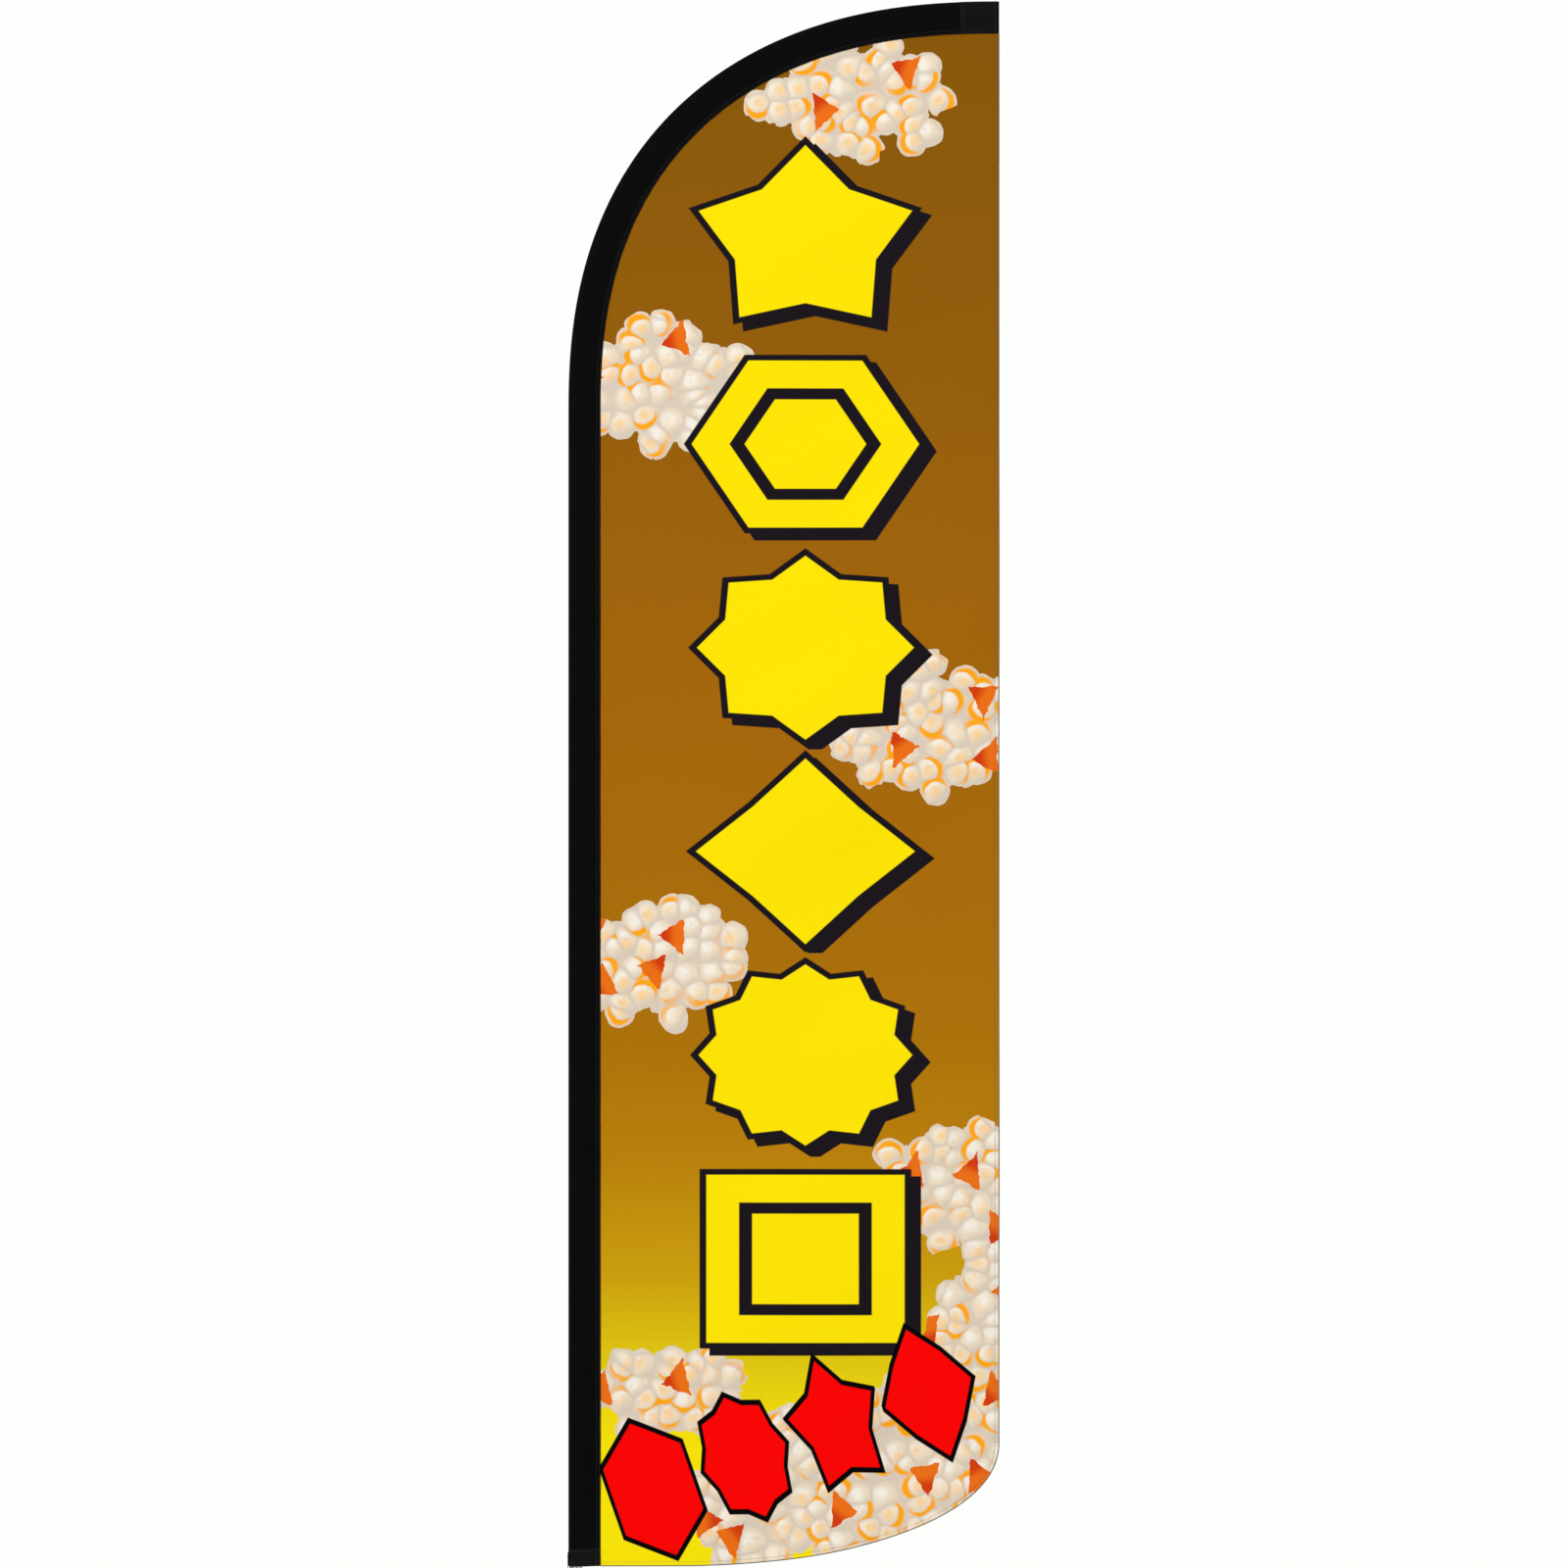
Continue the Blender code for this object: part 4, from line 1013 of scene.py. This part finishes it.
HEM_LINES = {"fly": (0.0, FLY_LENGTH), "foot": (FLY_LENGTH, FREE_LENGTH)}
hem_pieces = []
for part, (start, end) in HEM_LINES.items():
    rings = along_free_edge(start, end, HEM_STEP, hem_section(), HEM_WRINKLE)
    hem = skin(f"{part}_hem_band", rings, PRINTED_CLOTH, FLAG_BODY, caps=(0, -1))
    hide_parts(f"{part}_hem")
    rings = along_free_edge(start, end, HEM_STEP, thread_section(), HEM_WRINKLE)
    overlock = skin(f"{part}_overlock", rings, GREY_THREAD, FLAG_BODY, caps=(0, -1))
    hem_pieces += [hem, overlock]
print("the fly hem is", round(FLY_LENGTH, 3), "m long and the foot hem", round(FREE_LENGTH - FLY_LENGTH, 3))


# %% Stitches
STITCH_PROFILE = ((-0.5, 0.12), (-0.30, 1.0), (0.30, 1.0), (0.5, 0.12))


def stitched(name, centres, along, out, look, body, length=0.0031, half_width=0.00042, half_height=0.00034):
    """One spindle per centre, laid along its direction and standing proud of the cloth."""
    centres, along, out = (np.asarray(values, float) for values in (centres, along, out))
    along = along / np.linalg.norm(along, axis=1, keepdims=True)
    side = np.cross(along, out)
    rings = []
    for place, swell in STITCH_PROFILE:
        for across, proud in ((1, 0), (0, 1), (-1, 0), (0, -1)):
            offset = half_width * swell * across * side + half_height * swell * proud * out
            rings.append(centres + place * length * along + offset)
    points = np.stack(rings, axis=1)
    one = grid_faces(len(STITCH_PROFILE), 4, around=True) + [[0, 1, 2, 3], [12, 13, 14, 15]]
    count = points.shape[1]
    bases = range(0, len(centres) * count, count)
    faces = [[base + corner for corner in face] for base in bases for face in one]
    return linked(name, points.reshape(-1, 3), faces, look, body)


STITCH_PITCH = 0.0042


def one_after_another(rows):
    """Joins the rows' centres, then their directions, then their outward sides."""
    return [np.concatenate(parts) for parts in zip(*rows)]


def hem_stitches(start, end, inset):
    """Centres, directions and outward sides of a row of stitches on both faces of a hem."""
    places = np.arange(start + STITCH_PITCH, end - STITCH_PITCH / 2, STITCH_PITCH)
    rows = []
    for side in (-1.0, 1.0):
        spot = [(inset, side * (HEM_HALF + 0.0001))]
        line = along_free_edge(places[0], places[-1], STITCH_PITCH, spot, HEM_WRINKLE)[:, 0]
        rows.append((line, np.gradient(line, axis=0), np.tile((0.0, side, 0.0), (len(line), 1))))
    return one_after_another(rows)


for part, (start, end) in HEM_LINES.items():
    row = stitched(f"{part}_hem_stitches", *hem_stitches(start, end, 0.0094), GREY_THREAD, FLAG_BODY)
    hem_pieces.append(row)
    print(row.name, len(row.data.polygons), "faces")

# %% [markdown]
# ## The sleeve
# The sleeve is one strip folded round the pole and sewn shut along the flag. Over the pole it is round, and
# from there it flattens to the seam. Cut straight and bent round the bow, its inner side is too long for
# the curve and gathers in little radial folds. The section is swept along the edge, and the folds are added
# to its thickness.

# %% The sleeve's shape
LAYER = 0.0012
POLE_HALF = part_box("sleeve")[1].y  # half the sleeve's thickness over the metal pole
TIP_HALF = pocket_high.y
ROD_HALF = 0.0110
BULGE_RUNS = (METAL_TOP_Z + 0.0076, METAL_TOP_Z + 0.075, RUN_END)


def swelling(runs, u):
    """Half the sleeve's thickness at a distance u from its outer edge."""
    half = np.interp(runs, BULGE_RUNS, (POLE_HALF, ROD_HALF, TIP_HALF))
    nose = half * np.sqrt(np.clip(1 - ((NOSE - u) / NOSE) ** 2, 0, 1))
    share = np.clip((u - NOSE) / (SLEEVE_WIDTH - NOSE), 0, 1)
    tail = LAYER + (half - LAYER) * (1 + np.cos(math.pi * share)) / 2
    return np.where(u < NOSE, nose, tail)


def slack(runs, u, side):
    """Loose folds in the sleeve's sides: long and slanting on the straight, short and close on the bow."""
    on_bow = rise_of(runs, SPRING_Z - 0.1, SPRING_Z + 0.35)
    tail = rise_of(u, 0.020, 0.040) * (1 - 0.6 * rise_of(u, 0.055, SLEEVE_WIDTH))
    long_folds = 0.0007 * wave(runs / 0.23 + u * 6.0 + side * 0.21 + 0.4 * wave(runs / 0.83))
    close_folds = 0.0011 * wave(runs / 0.052 + side * 0.13 + 0.5 * wave(runs / 0.31))
    return tail * (long_folds * (1 - 0.6 * on_bow) + close_folds * on_bow)


def sleeve_skin_points(runs, u, side, proud=0.0):
    """Points on the sleeve's outer face, for runs (rows) and distances u (columns)."""
    points, inward = luff(runs)
    runs, u = np.asarray(runs, float)[:, None], np.asarray(u, float)[None, :]
    spread = swelling(runs, u) + slack(runs, u, side) + proud
    x = points[:, :1] + (u - proud * (u < 0.001)) * inward[:, :1]
    z = points[:, 1:] + (u - proud * (u < 0.001)) * inward[:, 1:]
    y = side * spread * (u > 0) + pucker(runs, u - SLEEVE_WIDTH)
    return np.stack([x, y, z], axis=-1)


def nose_and_tail(nose_steps=10, tail_steps=14):
    """Distances from the outer edge, close together round the nose."""
    angles = np.linspace(0, np.pi / 2, nose_steps + 1)
    nose = NOSE * (1 - np.cos(angles))
    tail = np.linspace(NOSE, SLEEVE_WIDTH, tail_steps + 1)[1:]
    return np.concatenate([nose, tail])


def sleeve_rings(runs, proud=0.0, squeeze=None):
    """Closed rings: out along one side and back along the other."""
    u = nose_and_tail()
    front = sleeve_skin_points(runs, u, -1.0, proud)
    back = sleeve_skin_points(runs, u, 1.0, proud)[:, -1:0:-1]
    rings = np.concatenate([front, back], axis=1)
    if squeeze is not None:
        rings[..., 1] *= squeeze[:, None]
    return rings


# %% The sleeve, its cuff and its tip pocket
RING_STEP = 0.0075
POCKET_LENGTH = 0.090
SEWN_LAP = 0.004  # of one piece over the next
POCKET_RUN = RUN_END - POCKET_LENGTH


def runs_between(low, high, step=RING_STEP):
    return np.linspace(low, high, max(2, round((high - low) / step) + 1))


sleeve_runs = runs_between(CUFF_TOP_Z - SEWN_LAP, POCKET_RUN + SEWN_LAP)
sleeve = skin("sleeve_skin", sleeve_rings(sleeve_runs), SLEEVE_CLOTH, FLAG_BODY)
thicken(sleeve, 0.0010, -1.0)
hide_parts("sleeve")

cuff_runs = np.array([0.0, 0.0004, 0.0012, *np.linspace(0.003, 0.037, 12), 0.0388, 0.0396, 0.0400]) + FOOT_Z
cuff_proud = 0.0003 - 0.0007 * np.exp(-np.minimum(cuff_runs - FOOT_Z, CUFF_TOP_Z - cuff_runs) / 0.0006)
cuff_rings = np.stack([sleeve_rings([run], proud)[0] for run, proud in zip(cuff_runs, cuff_proud)])
cuff = skin("sleeve_cuff_band", cuff_rings, CUFF_WEBBING, FLAG_BODY)
thicken(cuff, 0.0015, -1.0)
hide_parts("sleeve_cuff")

CLOSING = 0.012  # over this length the pocket's end folds flat
FOLDED = 0.14  # of its thickness is left at the fold
closing_runs = RUN_END - CLOSING * np.array([0.8, 0.6, 0.42, 0.26, 0.14, 0.05, 0.0])
pocket_runs = np.concatenate([runs_between(POCKET_RUN, RUN_END - CLOSING, 0.004), closing_runs])
folded = np.clip(1 - (RUN_END - pocket_runs) / CLOSING, 0, 1)
pocket_rings = sleeve_rings(pocket_runs, 0.00035, squeeze=FOLDED + (1 - FOLDED) * np.sqrt(1 - folded**2.4))
pocket = skin("tip_pocket_skin", pocket_rings, POCKET_CLOTH, FLAG_BODY, caps=(-1,))
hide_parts("tip_pocket")
for piece in (sleeve, cuff, pocket):
    print(piece.name, len(piece.data.polygons), "faces")


# %% Seams on the sleeve
def seam_stitches(low, high, insets, pitch=STITCH_PITCH, lift=0.0002):
    """Rows beside the seam, on both faces of the sleeve."""
    runs = np.arange(low + pitch, high - pitch / 2, pitch)
    rows = []
    for side in (-1.0, 1.0):
        for inset in insets:
            line = sleeve_skin_points(runs, [SLEEVE_WIDTH - inset], side, lift)[:, 0]
            rows.append((line, np.gradient(line, axis=0), np.tile((0.0, side, 0.0), (len(line), 1))))
    return one_after_another(rows)


def band_stitches(run, span, proud):
    """A row round the sleeve, square to it, on both faces."""
    rows = []
    for side in (-1.0, 1.0):
        u = np.arange(span[0], span[1], STITCH_PITCH)
        line = sleeve_skin_points([run], u, side, proud)[0]
        tangent = np.gradient(line, axis=0)
        out = np.tile((0.0, side, 0.0), (len(line), 1))
        out = out - tangent * (np.sum(out * tangent, axis=1) / np.sum(tangent * tangent, axis=1))[:, None]
        rows.append((line, tangent, out / np.linalg.norm(out, axis=1, keepdims=True)))
    return one_after_another(rows)


seam_places = seam_stitches(FOOT_Z, RUN_END, (0.0028, 0.0088))
seam_row = stitched("sleeve_seam_stitches", *seam_places, BLACK_THREAD, FLAG_BODY)
band_span = (0.004, SLEEVE_WIDTH - 0.002)
bands = [band_stitches(FOOT_Z + up, band_span, 0.0005) for up in (0.0045, 0.0105, 0.0355)]
bands += [band_stitches(POCKET_RUN + along, band_span, 0.0006) for along in (0.004, 0.010, 0.080)]
cross_rows = stitched("cuff_and_pocket_stitches", *one_after_another(bands), BLACK_THREAD, FLAG_BODY)
print("seam stitches", len(seam_row.data.polygons), "faces")

# %% [markdown]
# ## The strap
# A ribbed elastic strap is sewn over the cuff and ends in an eyelet on the clip's peg. On the real flag it
# stretches when the clip is pulled down the pole. Here it is built once, at rest, and is not attached to
# a body.

# %% The strap
strap_low, strap_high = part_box("tension_strap")
eyelet_low, eyelet_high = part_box("strap_eyelet")
STRAP_X = (strap_low.x + strap_high.x) / 2
EYELET_Z = (eyelet_low.z + eyelet_high.z) / 2
STRAP_HALF = strap_high.y
HOLE = 0.0048


def strap_outline():
    """A round lower end with straight sides, as (across, up)."""
    angles = np.linspace(math.pi, 2 * math.pi, 25)
    lower = np.stack([STRAP_HALF * np.cos(angles), EYELET_Z + STRAP_HALF * np.sin(angles)], axis=1)
    sides = np.linspace(EYELET_Z, strap_high.z, 45)[1:]
    right = np.stack([np.full(len(sides), STRAP_HALF), sides], axis=1)
    return np.concatenate([lower, right, right[::-1] * (-1, 1)])


def strap_points():
    circles = [HOLE + step for step in (0.0, 0.0008, 0.0018)]
    angles = math.tau * np.arange(28) / 28
    rings = [np.stack([r * np.cos(angles), EYELET_Z + r * np.sin(angles)], axis=1) for r in circles]
    ys = np.linspace(-STRAP_HALF, STRAP_HALF, 9)[1:-1]
    y, z = np.meshgrid(ys, np.arange(EYELET_Z, strap_high.z, 0.0022)[1:])
    strewn = np.stack([y.ravel(), z.ravel()], axis=1)
    strewn = strewn[np.hypot(strewn[:, 0], strewn[:, 1] - EYELET_Z) > HOLE + 0.0028]
    return np.concatenate([*rings, strewn])


def strap():
    flat, faces = filled(strap_outline(), strap_points())
    middles = np.array([flat[list(face)].mean(axis=0) for face in faces]) - (0, EYELET_Z)
    faces = [face for face, middle in zip(faces, middles) if np.hypot(*middle) > HOLE * 0.97]
    points = np.stack([np.full(len(flat), STRAP_X), flat[:, 0], flat[:, 1]], axis=1)
    made = linked("elastic_strap", points, faces, ELASTIC, None)
    facing_out(made.data)
    thicken(made, strap_high.x - strap_low.x - 0.0001)
    start, end = (STRAP_X, 0, FOOT_Z - 0.002), (STRAP_X, 0, EYELET_Z + 0.012)
    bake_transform(made)
    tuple(start)
    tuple(end)
    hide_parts("tension_strap")
    return made


strap()


def box_and_cross():
    """The square with a cross in it that holds a strap down."""
    low, high, half = FOOT_Z + 0.003, strap_high.z - 0.003, STRAP_HALF - 0.002
    a, b, c, d = (-half, low), (half, low), (half, high), (-half, high)
    path = np.array([a, b, c, d, a, c, b, d])
    line = at(even(path, 0.0026), lengths_along(path), path)
    centres = np.stack([np.full(len(line), strap_low.x - 0.0001), line[:, 0], line[:, 1]], axis=1)
    return centres, np.gradient(centres, axis=0), np.tile((-1.0, 0.0, 0.0), (len(line), 1))


small = {"length": 0.0024, "half_width": 0.0003, "half_height": 0.00025}
tacks = stitched("strap_box_stitches", *box_and_cross(), GREY_THREAD, FLAG_BODY, **small)

# %% [markdown]
# ## Metal, plastic and rubber
# These parts keep their own shapes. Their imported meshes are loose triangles, so a Weld joins them, a small
# node group makes them smooth up to an angle, and a fine bevel breaks the edges, because no real edge is
# perfectly sharp. The finishes show how each is made: zinc has a faint spangle and scuffs, anodised tube
# has drawing lines.


# %% Metals
def zinc_plate():
    look = Look("zinc_plated_steel")
    place = place_on(look)
    spangle = scattered_3d(look, place, 0.0045)
    grain = look.add("ShaderNodeSeparateColor", None, [spangle["Color"]])[0]
    cloud = noise(look, place, 46.0, 4.0)["Fac"]
    colour = mixed(rise(cloud, 0.35, 0.7), (0.31, 0.32, 0.34), (0.43, 0.435, 0.44))
    colour = mixed(rise(noise(look, place, 120.0, 3.0)["Fac"], 0.62, 0.72) * 0.35, colour, (0.55, 0.52, 0.45))
    rough = 0.36 + grain * 0.10 + cloud * 0.16
    scuffs = noise(look, place * (1.0, 1.0, 0.12), 420.0, 2.0)["Fac"]
    normal = bumped(look, scuffs + cloud, 0.00012)
    return look.finish(Base_Color=colour, Metallic=1.0, Roughness=rough, Normal=normal)


def scattered_3d(look, place, spacing):
    return look.add("ShaderNodeTexVoronoi", {"feature": "F1"}, {"Vector": place, "Scale": 1 / spacing})


def anodised_tube():
    look = Look("satin_anodised_tube")
    place = place_on(look)
    drawn = noise(look, place * (1.0, 1.0, 0.004), 1500.0, 3.0, 0.6)["Fac"]
    rubbed = noise(look, place * (1.0, 1.0, 0.25), 60.0, 4.0, 0.6)["Fac"]
    colour = mixed(rise(rubbed, 0.45, 0.7) * 0.6, (0.47, 0.48, 0.50), (0.55, 0.56, 0.575))
    rough = 0.24 + drawn * 0.12 + rise(rubbed, 0.5, 0.7) * 0.08
    return look.finish(Base_Color=colour, Metallic=1.0, Roughness=rough, Normal=bumped(look, drawn, 0.00006))


def polished(name, colour, darker, rough, scale):
    look = Look(name)
    place = place_on(look)
    cloud = noise(look, place, scale, 4.0)["Fac"]
    fine = noise(look, place * (1.0, 1.0, 0.05), 1800.0, 2.0)["Fac"]
    colours = mixed(rise(cloud, 0.4, 0.72), colour, darker)
    normal = bumped(look, fine, 0.00003)
    return look.finish(Base_Color=colours, Metallic=1.0, Roughness=rough + fine * 0.1, Normal=normal)


# %% Plastics, fibreglass and rubber
def moulded(name, colour, wear_and_highlight, rough, grain, proud):
    """Matt moulded plastic or rubber: fine texture, with paler rubbed patches."""
    look = Look(name)
    place = place_on(look)
    fine = noise(look, place, grain, 2.0)["Fac"]
    patches = noise(look, place, 42.0, 4.0, 0.6)["Fac"]
    colours = mixed(rise(patches, 0.5, 0.72) * 0.7, colour, wear_and_highlight)
    roughness = rough + fine * 0.12 - patches * 0.08
    return look.finish(Base_Color=colours, Roughness=roughness, Normal=bumped(look, fine, proud))


def fibreglass():
    look = Look("black_fibreglass_rod")
    place = place_on(look)
    fibres = noise(look, place * (1.0, 1.0, 0.02), 2600.0, 2.0)["Fac"]
    colours = mixed(rise(fibres, 0.4, 0.7), (0.010, 0.010, 0.011), (0.030, 0.030, 0.032))
    normal = bumped(look, fibres, 0.00004)
    return look.finish(Base_Color=colours, Roughness=0.30 + fibres * 0.2, Normal=normal)


FINISHES = {
    "zinc_steel": zinc_plate(),
    "bearing_steel": polished("polished_bearing_steel", (0.50, 0.50, 0.52), (0.40, 0.40, 0.43), 0.12, 90.0),
    "anodised_aluminium": anodised_tube(),
    "black_fibreglass": fibreglass(),
    "black_nylon": moulded("moulded_black_nylon", (0.014,) * 3, (0.031,) * 3, 0.42, 1500.0, 0.00006),
    "black_rubber": moulded("black_rubber", (0.010,) * 3, (0.023,) * 3, 0.66, 700.0, 0.00010),
    "brass": polished("rolled_brass", (0.80, 0.58, 0.24), (0.62, 0.42, 0.16), 0.22, 160.0),
}


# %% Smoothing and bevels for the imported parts
def smoothing_group(limit=math.radians(34)):
    """Smooth faces, and edges sharper than the limit kept sharp."""
    group = bpy.data.node_groups.new("smooth_up_to_an_angle", "GeometryNodeTree")
    group.interface.new_socket("Geometry", in_out="INPUT", socket_type="NodeSocketGeometry")
    group.interface.new_socket("Geometry", in_out="OUTPUT", socket_type="NodeSocketGeometry")
    nodes, links = group.nodes, group.links
    start, end = nodes.new("NodeGroupInput"), nodes.new("NodeGroupOutput")
    plain = nodes.new("GeometryNodeRemoveAttribute")
    plain.inputs["Name"].default_value = "custom_normal"
    angle, gentle = nodes.new("GeometryNodeInputMeshEdgeAngle"), nodes.new("FunctionNodeCompare")
    gentle.operation = "LESS_EQUAL"
    gentle.inputs[1].default_value = limit
    faces, edges = nodes.new("GeometryNodeSetShadeSmooth"), nodes.new("GeometryNodeSetShadeSmooth")
    edges.domain = "EDGE"
    links.new(start.outputs[0], plain.inputs[0])
    links.new(plain.outputs[0], faces.inputs["Geometry"])
    links.new(faces.outputs[0], edges.inputs["Geometry"])
    links.new(angle.outputs["Unsigned Angle"], gentle.inputs[0])
    links.new(gentle.outputs[0], edges.inputs["Shade Smooth"])
    links.new(edges.outputs[0], end.inputs[0])
    return group


SMOOTHING = smoothing_group()
BROKEN_EDGE = {"zinc_steel": 0.0004, "black_nylon": 0.0003, "brass": 0.00015}

for name, node in frame["nodes"].items():
    if node.hide_render:
        continue
    slot = node.material_slots[0].material.name.split(".")[0]
    node.material_slots[0].link = "OBJECT"
    node.material_slots[0].material = FINISHES[slot]
    weld = node.modifiers.new("weld", "WELD")
    weld.merge_threshold = 1e-6
    smooth = node.modifiers.new("smooth", "NODES")
    smooth.node_group = SMOOTHING
    if slot in BROKEN_EDGE:
        bevel = node.modifiers.new("broken edges", "BEVEL")
        bevel.width, bevel.segments = BROKEN_EDGE[slot], 2
        bevel.limit_method, bevel.angle_limit = "ANGLE", math.radians(40)
        bevel.harden_normals = False
print("finished", sum(not node.hide_render for node in frame["nodes"].values()), "packed parts")

# %% [markdown]
# ## Weld beads
# The stake's blades are welded to the foot plate and the collar is welded on top of it. A weld bead is a
# rope of overlapping puddles, so it is a tube swept round the joint whose radius rises and falls.

# %% The beads
BEAD, BEAD_STEP, BEAD_SIDES = 0.0016, 0.0005, 8
PUDDLE = 0.0052  # length of one ripple
LIFT = 0.0004  # of a bead's middle from the plate
HEAT_STOPS = [(0.30, (0.20, 0.22, 0.27)), (0.50, (0.33, 0.33, 0.34)), (0.66, (0.40, 0.35, 0.26))]


def weld_look():
    """Bare metal under the zinc, straw and blue from the heat."""
    look = Look("weld_metal")
    place = place_on(look)
    tint = noise(look, place, 140.0, 3.0)["Fac"]
    colour = look.add("ShaderNodeValToRGB", {"stops": HEAT_STOPS}, [tint])["Color"]
    fine = noise(look, place, 1600.0, 2.0)["Fac"]
    normal = bumped(look, fine, 0.00006)
    return look.finish(Base_Color=colour, Metallic=1.0, Roughness=0.36 + fine * 0.2, Normal=normal)


WELD_METAL = weld_look()


def bead(name, path):
    """A rippled tube round a closed path of points that lie on the joint."""
    path = np.array([*path, path[0]], float)
    known = lengths_along(path)
    places = np.linspace(0, known[-1], round(known[-1] / BEAD_STEP) + 1)[:-1]
    centres = at(places, known, path)
    tangent = np.roll(centres, -1, axis=0) - np.roll(centres, 1, axis=0)
    tangent /= np.linalg.norm(tangent, axis=1, keepdims=True)
    side = np.cross(tangent, (0.0, 0.0, 1.0))
    radius = BEAD * (0.86 + 0.16 * np.abs(wave(places / PUDDLE)) + 0.05 * wave(places / 0.019))
    angles = math.tau * np.arange(BEAD_SIDES) / BEAD_SIDES
    level, upright = np.cos(angles)[None, :, None] * side[:, None], np.zeros((1, BEAD_SIDES, 3))
    upright[0, :, 2] = np.sin(angles)
    rings = centres[:, None] + radius[:, None, None] * (level + upright)
    made = skin(name, np.concatenate([rings, rings[:1]]), WELD_METAL, "ground_stake")


collar_low, collar_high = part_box("stake_collar")
COLLAR_REACH = collar_high.x + 0.0002
turns = math.tau * np.arange(6) / 6
corners = [(COLLAR_REACH * math.cos(turn), COLLAR_REACH * math.sin(turn)) for turn in turns]
bead("collar_weld", [(x, y, collar_low.z + LIFT) for x, y in corners])

plate_low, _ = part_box("foot_plate")
_, blade_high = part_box("stake_blade")
ARM = blade_high.x + 0.0002  # a hair more than a blade's reach
ARM_HALF = 0.0022  # and than half its thickness
arm = [(ARM, -ARM_HALF), (ARM, ARM_HALF), (ARM_HALF, ARM_HALF)]
cross = []
for _ in range(4):
    cross += [(x, y, plate_low.z - LIFT) for x, y in arm]
    arm = [(-y, x) for x, y in arm]
bead("blade_weld", cross)

# %% [markdown]
# ## The floor
# A plain pale floor lies under the lowest point and fades out at its rim, so that it has no horizon line.


# %% Floor and cards
def floor_look():
    look = Look("pale_floor")
    x, y, _ = split(place_on(look))
    away = maths("SQRT", x * x + y * y)
    speckle = noise(look, place_on(look), 30.0, 3.0)["Fac"]
    colour = mixed(speckle, (0.61, 0.615, 0.605), (0.66, 0.665, 0.655))
    return look.finish(Base_Color=colour, Roughness=0.8 + speckle * 0.1, Alpha=fall(away, 3.0, 6.0))


FLOOR_RADIUS, FLOOR_SIDES = 6.0, 96
floor_angles = math.tau * np.arange(FLOOR_SIDES) / FLOOR_SIDES
rim = np.stack([np.cos(floor_angles), np.sin(floor_angles), np.zeros(FLOOR_SIDES)], axis=1)
floor_rings = np.linspace(0.01, FLOOR_RADIUS, 25)[:, None, None] * rim
floor = skin("floor", floor_rings, floor_look(), None, caps=(0,))
floor.location.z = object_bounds()[0].z - 0.0005
floor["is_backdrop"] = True


CARD_AWAY, CARD_HALF = 2.6, 0.6
CARD_LOW, CARD_HIGH = -0.4, 3.2


def card(name, degrees):
    """A tall dark card, facing the pole, that is seen in reflections only."""
    look = Look(name)
    look.finish(Base_Color=(0.02, 0.02, 0.02), Roughness=0.9)
    angle = math.radians(degrees)
    middle = CARD_AWAY * Vector((math.cos(angle), math.sin(angle), 0))
    along = CARD_HALF * Vector((-math.sin(angle), math.cos(angle), 0))
    corners = [middle - along, middle + along, middle + along, middle - along]
    for corner, height in zip(corners, (CARD_LOW, CARD_LOW, CARD_HIGH, CARD_HIGH)):
        corner.z = height
    made = linked(name, corners, [(0, 1, 2, 3)], look.material, None)
    made.visible_camera = made.visible_diffuse = made.visible_shadow = made.visible_transmission = False
    made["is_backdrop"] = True


for number, degrees in enumerate((25, 115, 205, 295)):
    card(f"dark_card_{number + 1}", degrees)

# %% Sizes, and the end
boxes = {"cad": cad_box, "visual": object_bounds()}
boxes = {name: [list(corner) for corner in box] for name, box in boxes.items()}
for name, box in boxes.items():
    print(name, "box", *([round(value, 4) for value in corner] for corner in box))
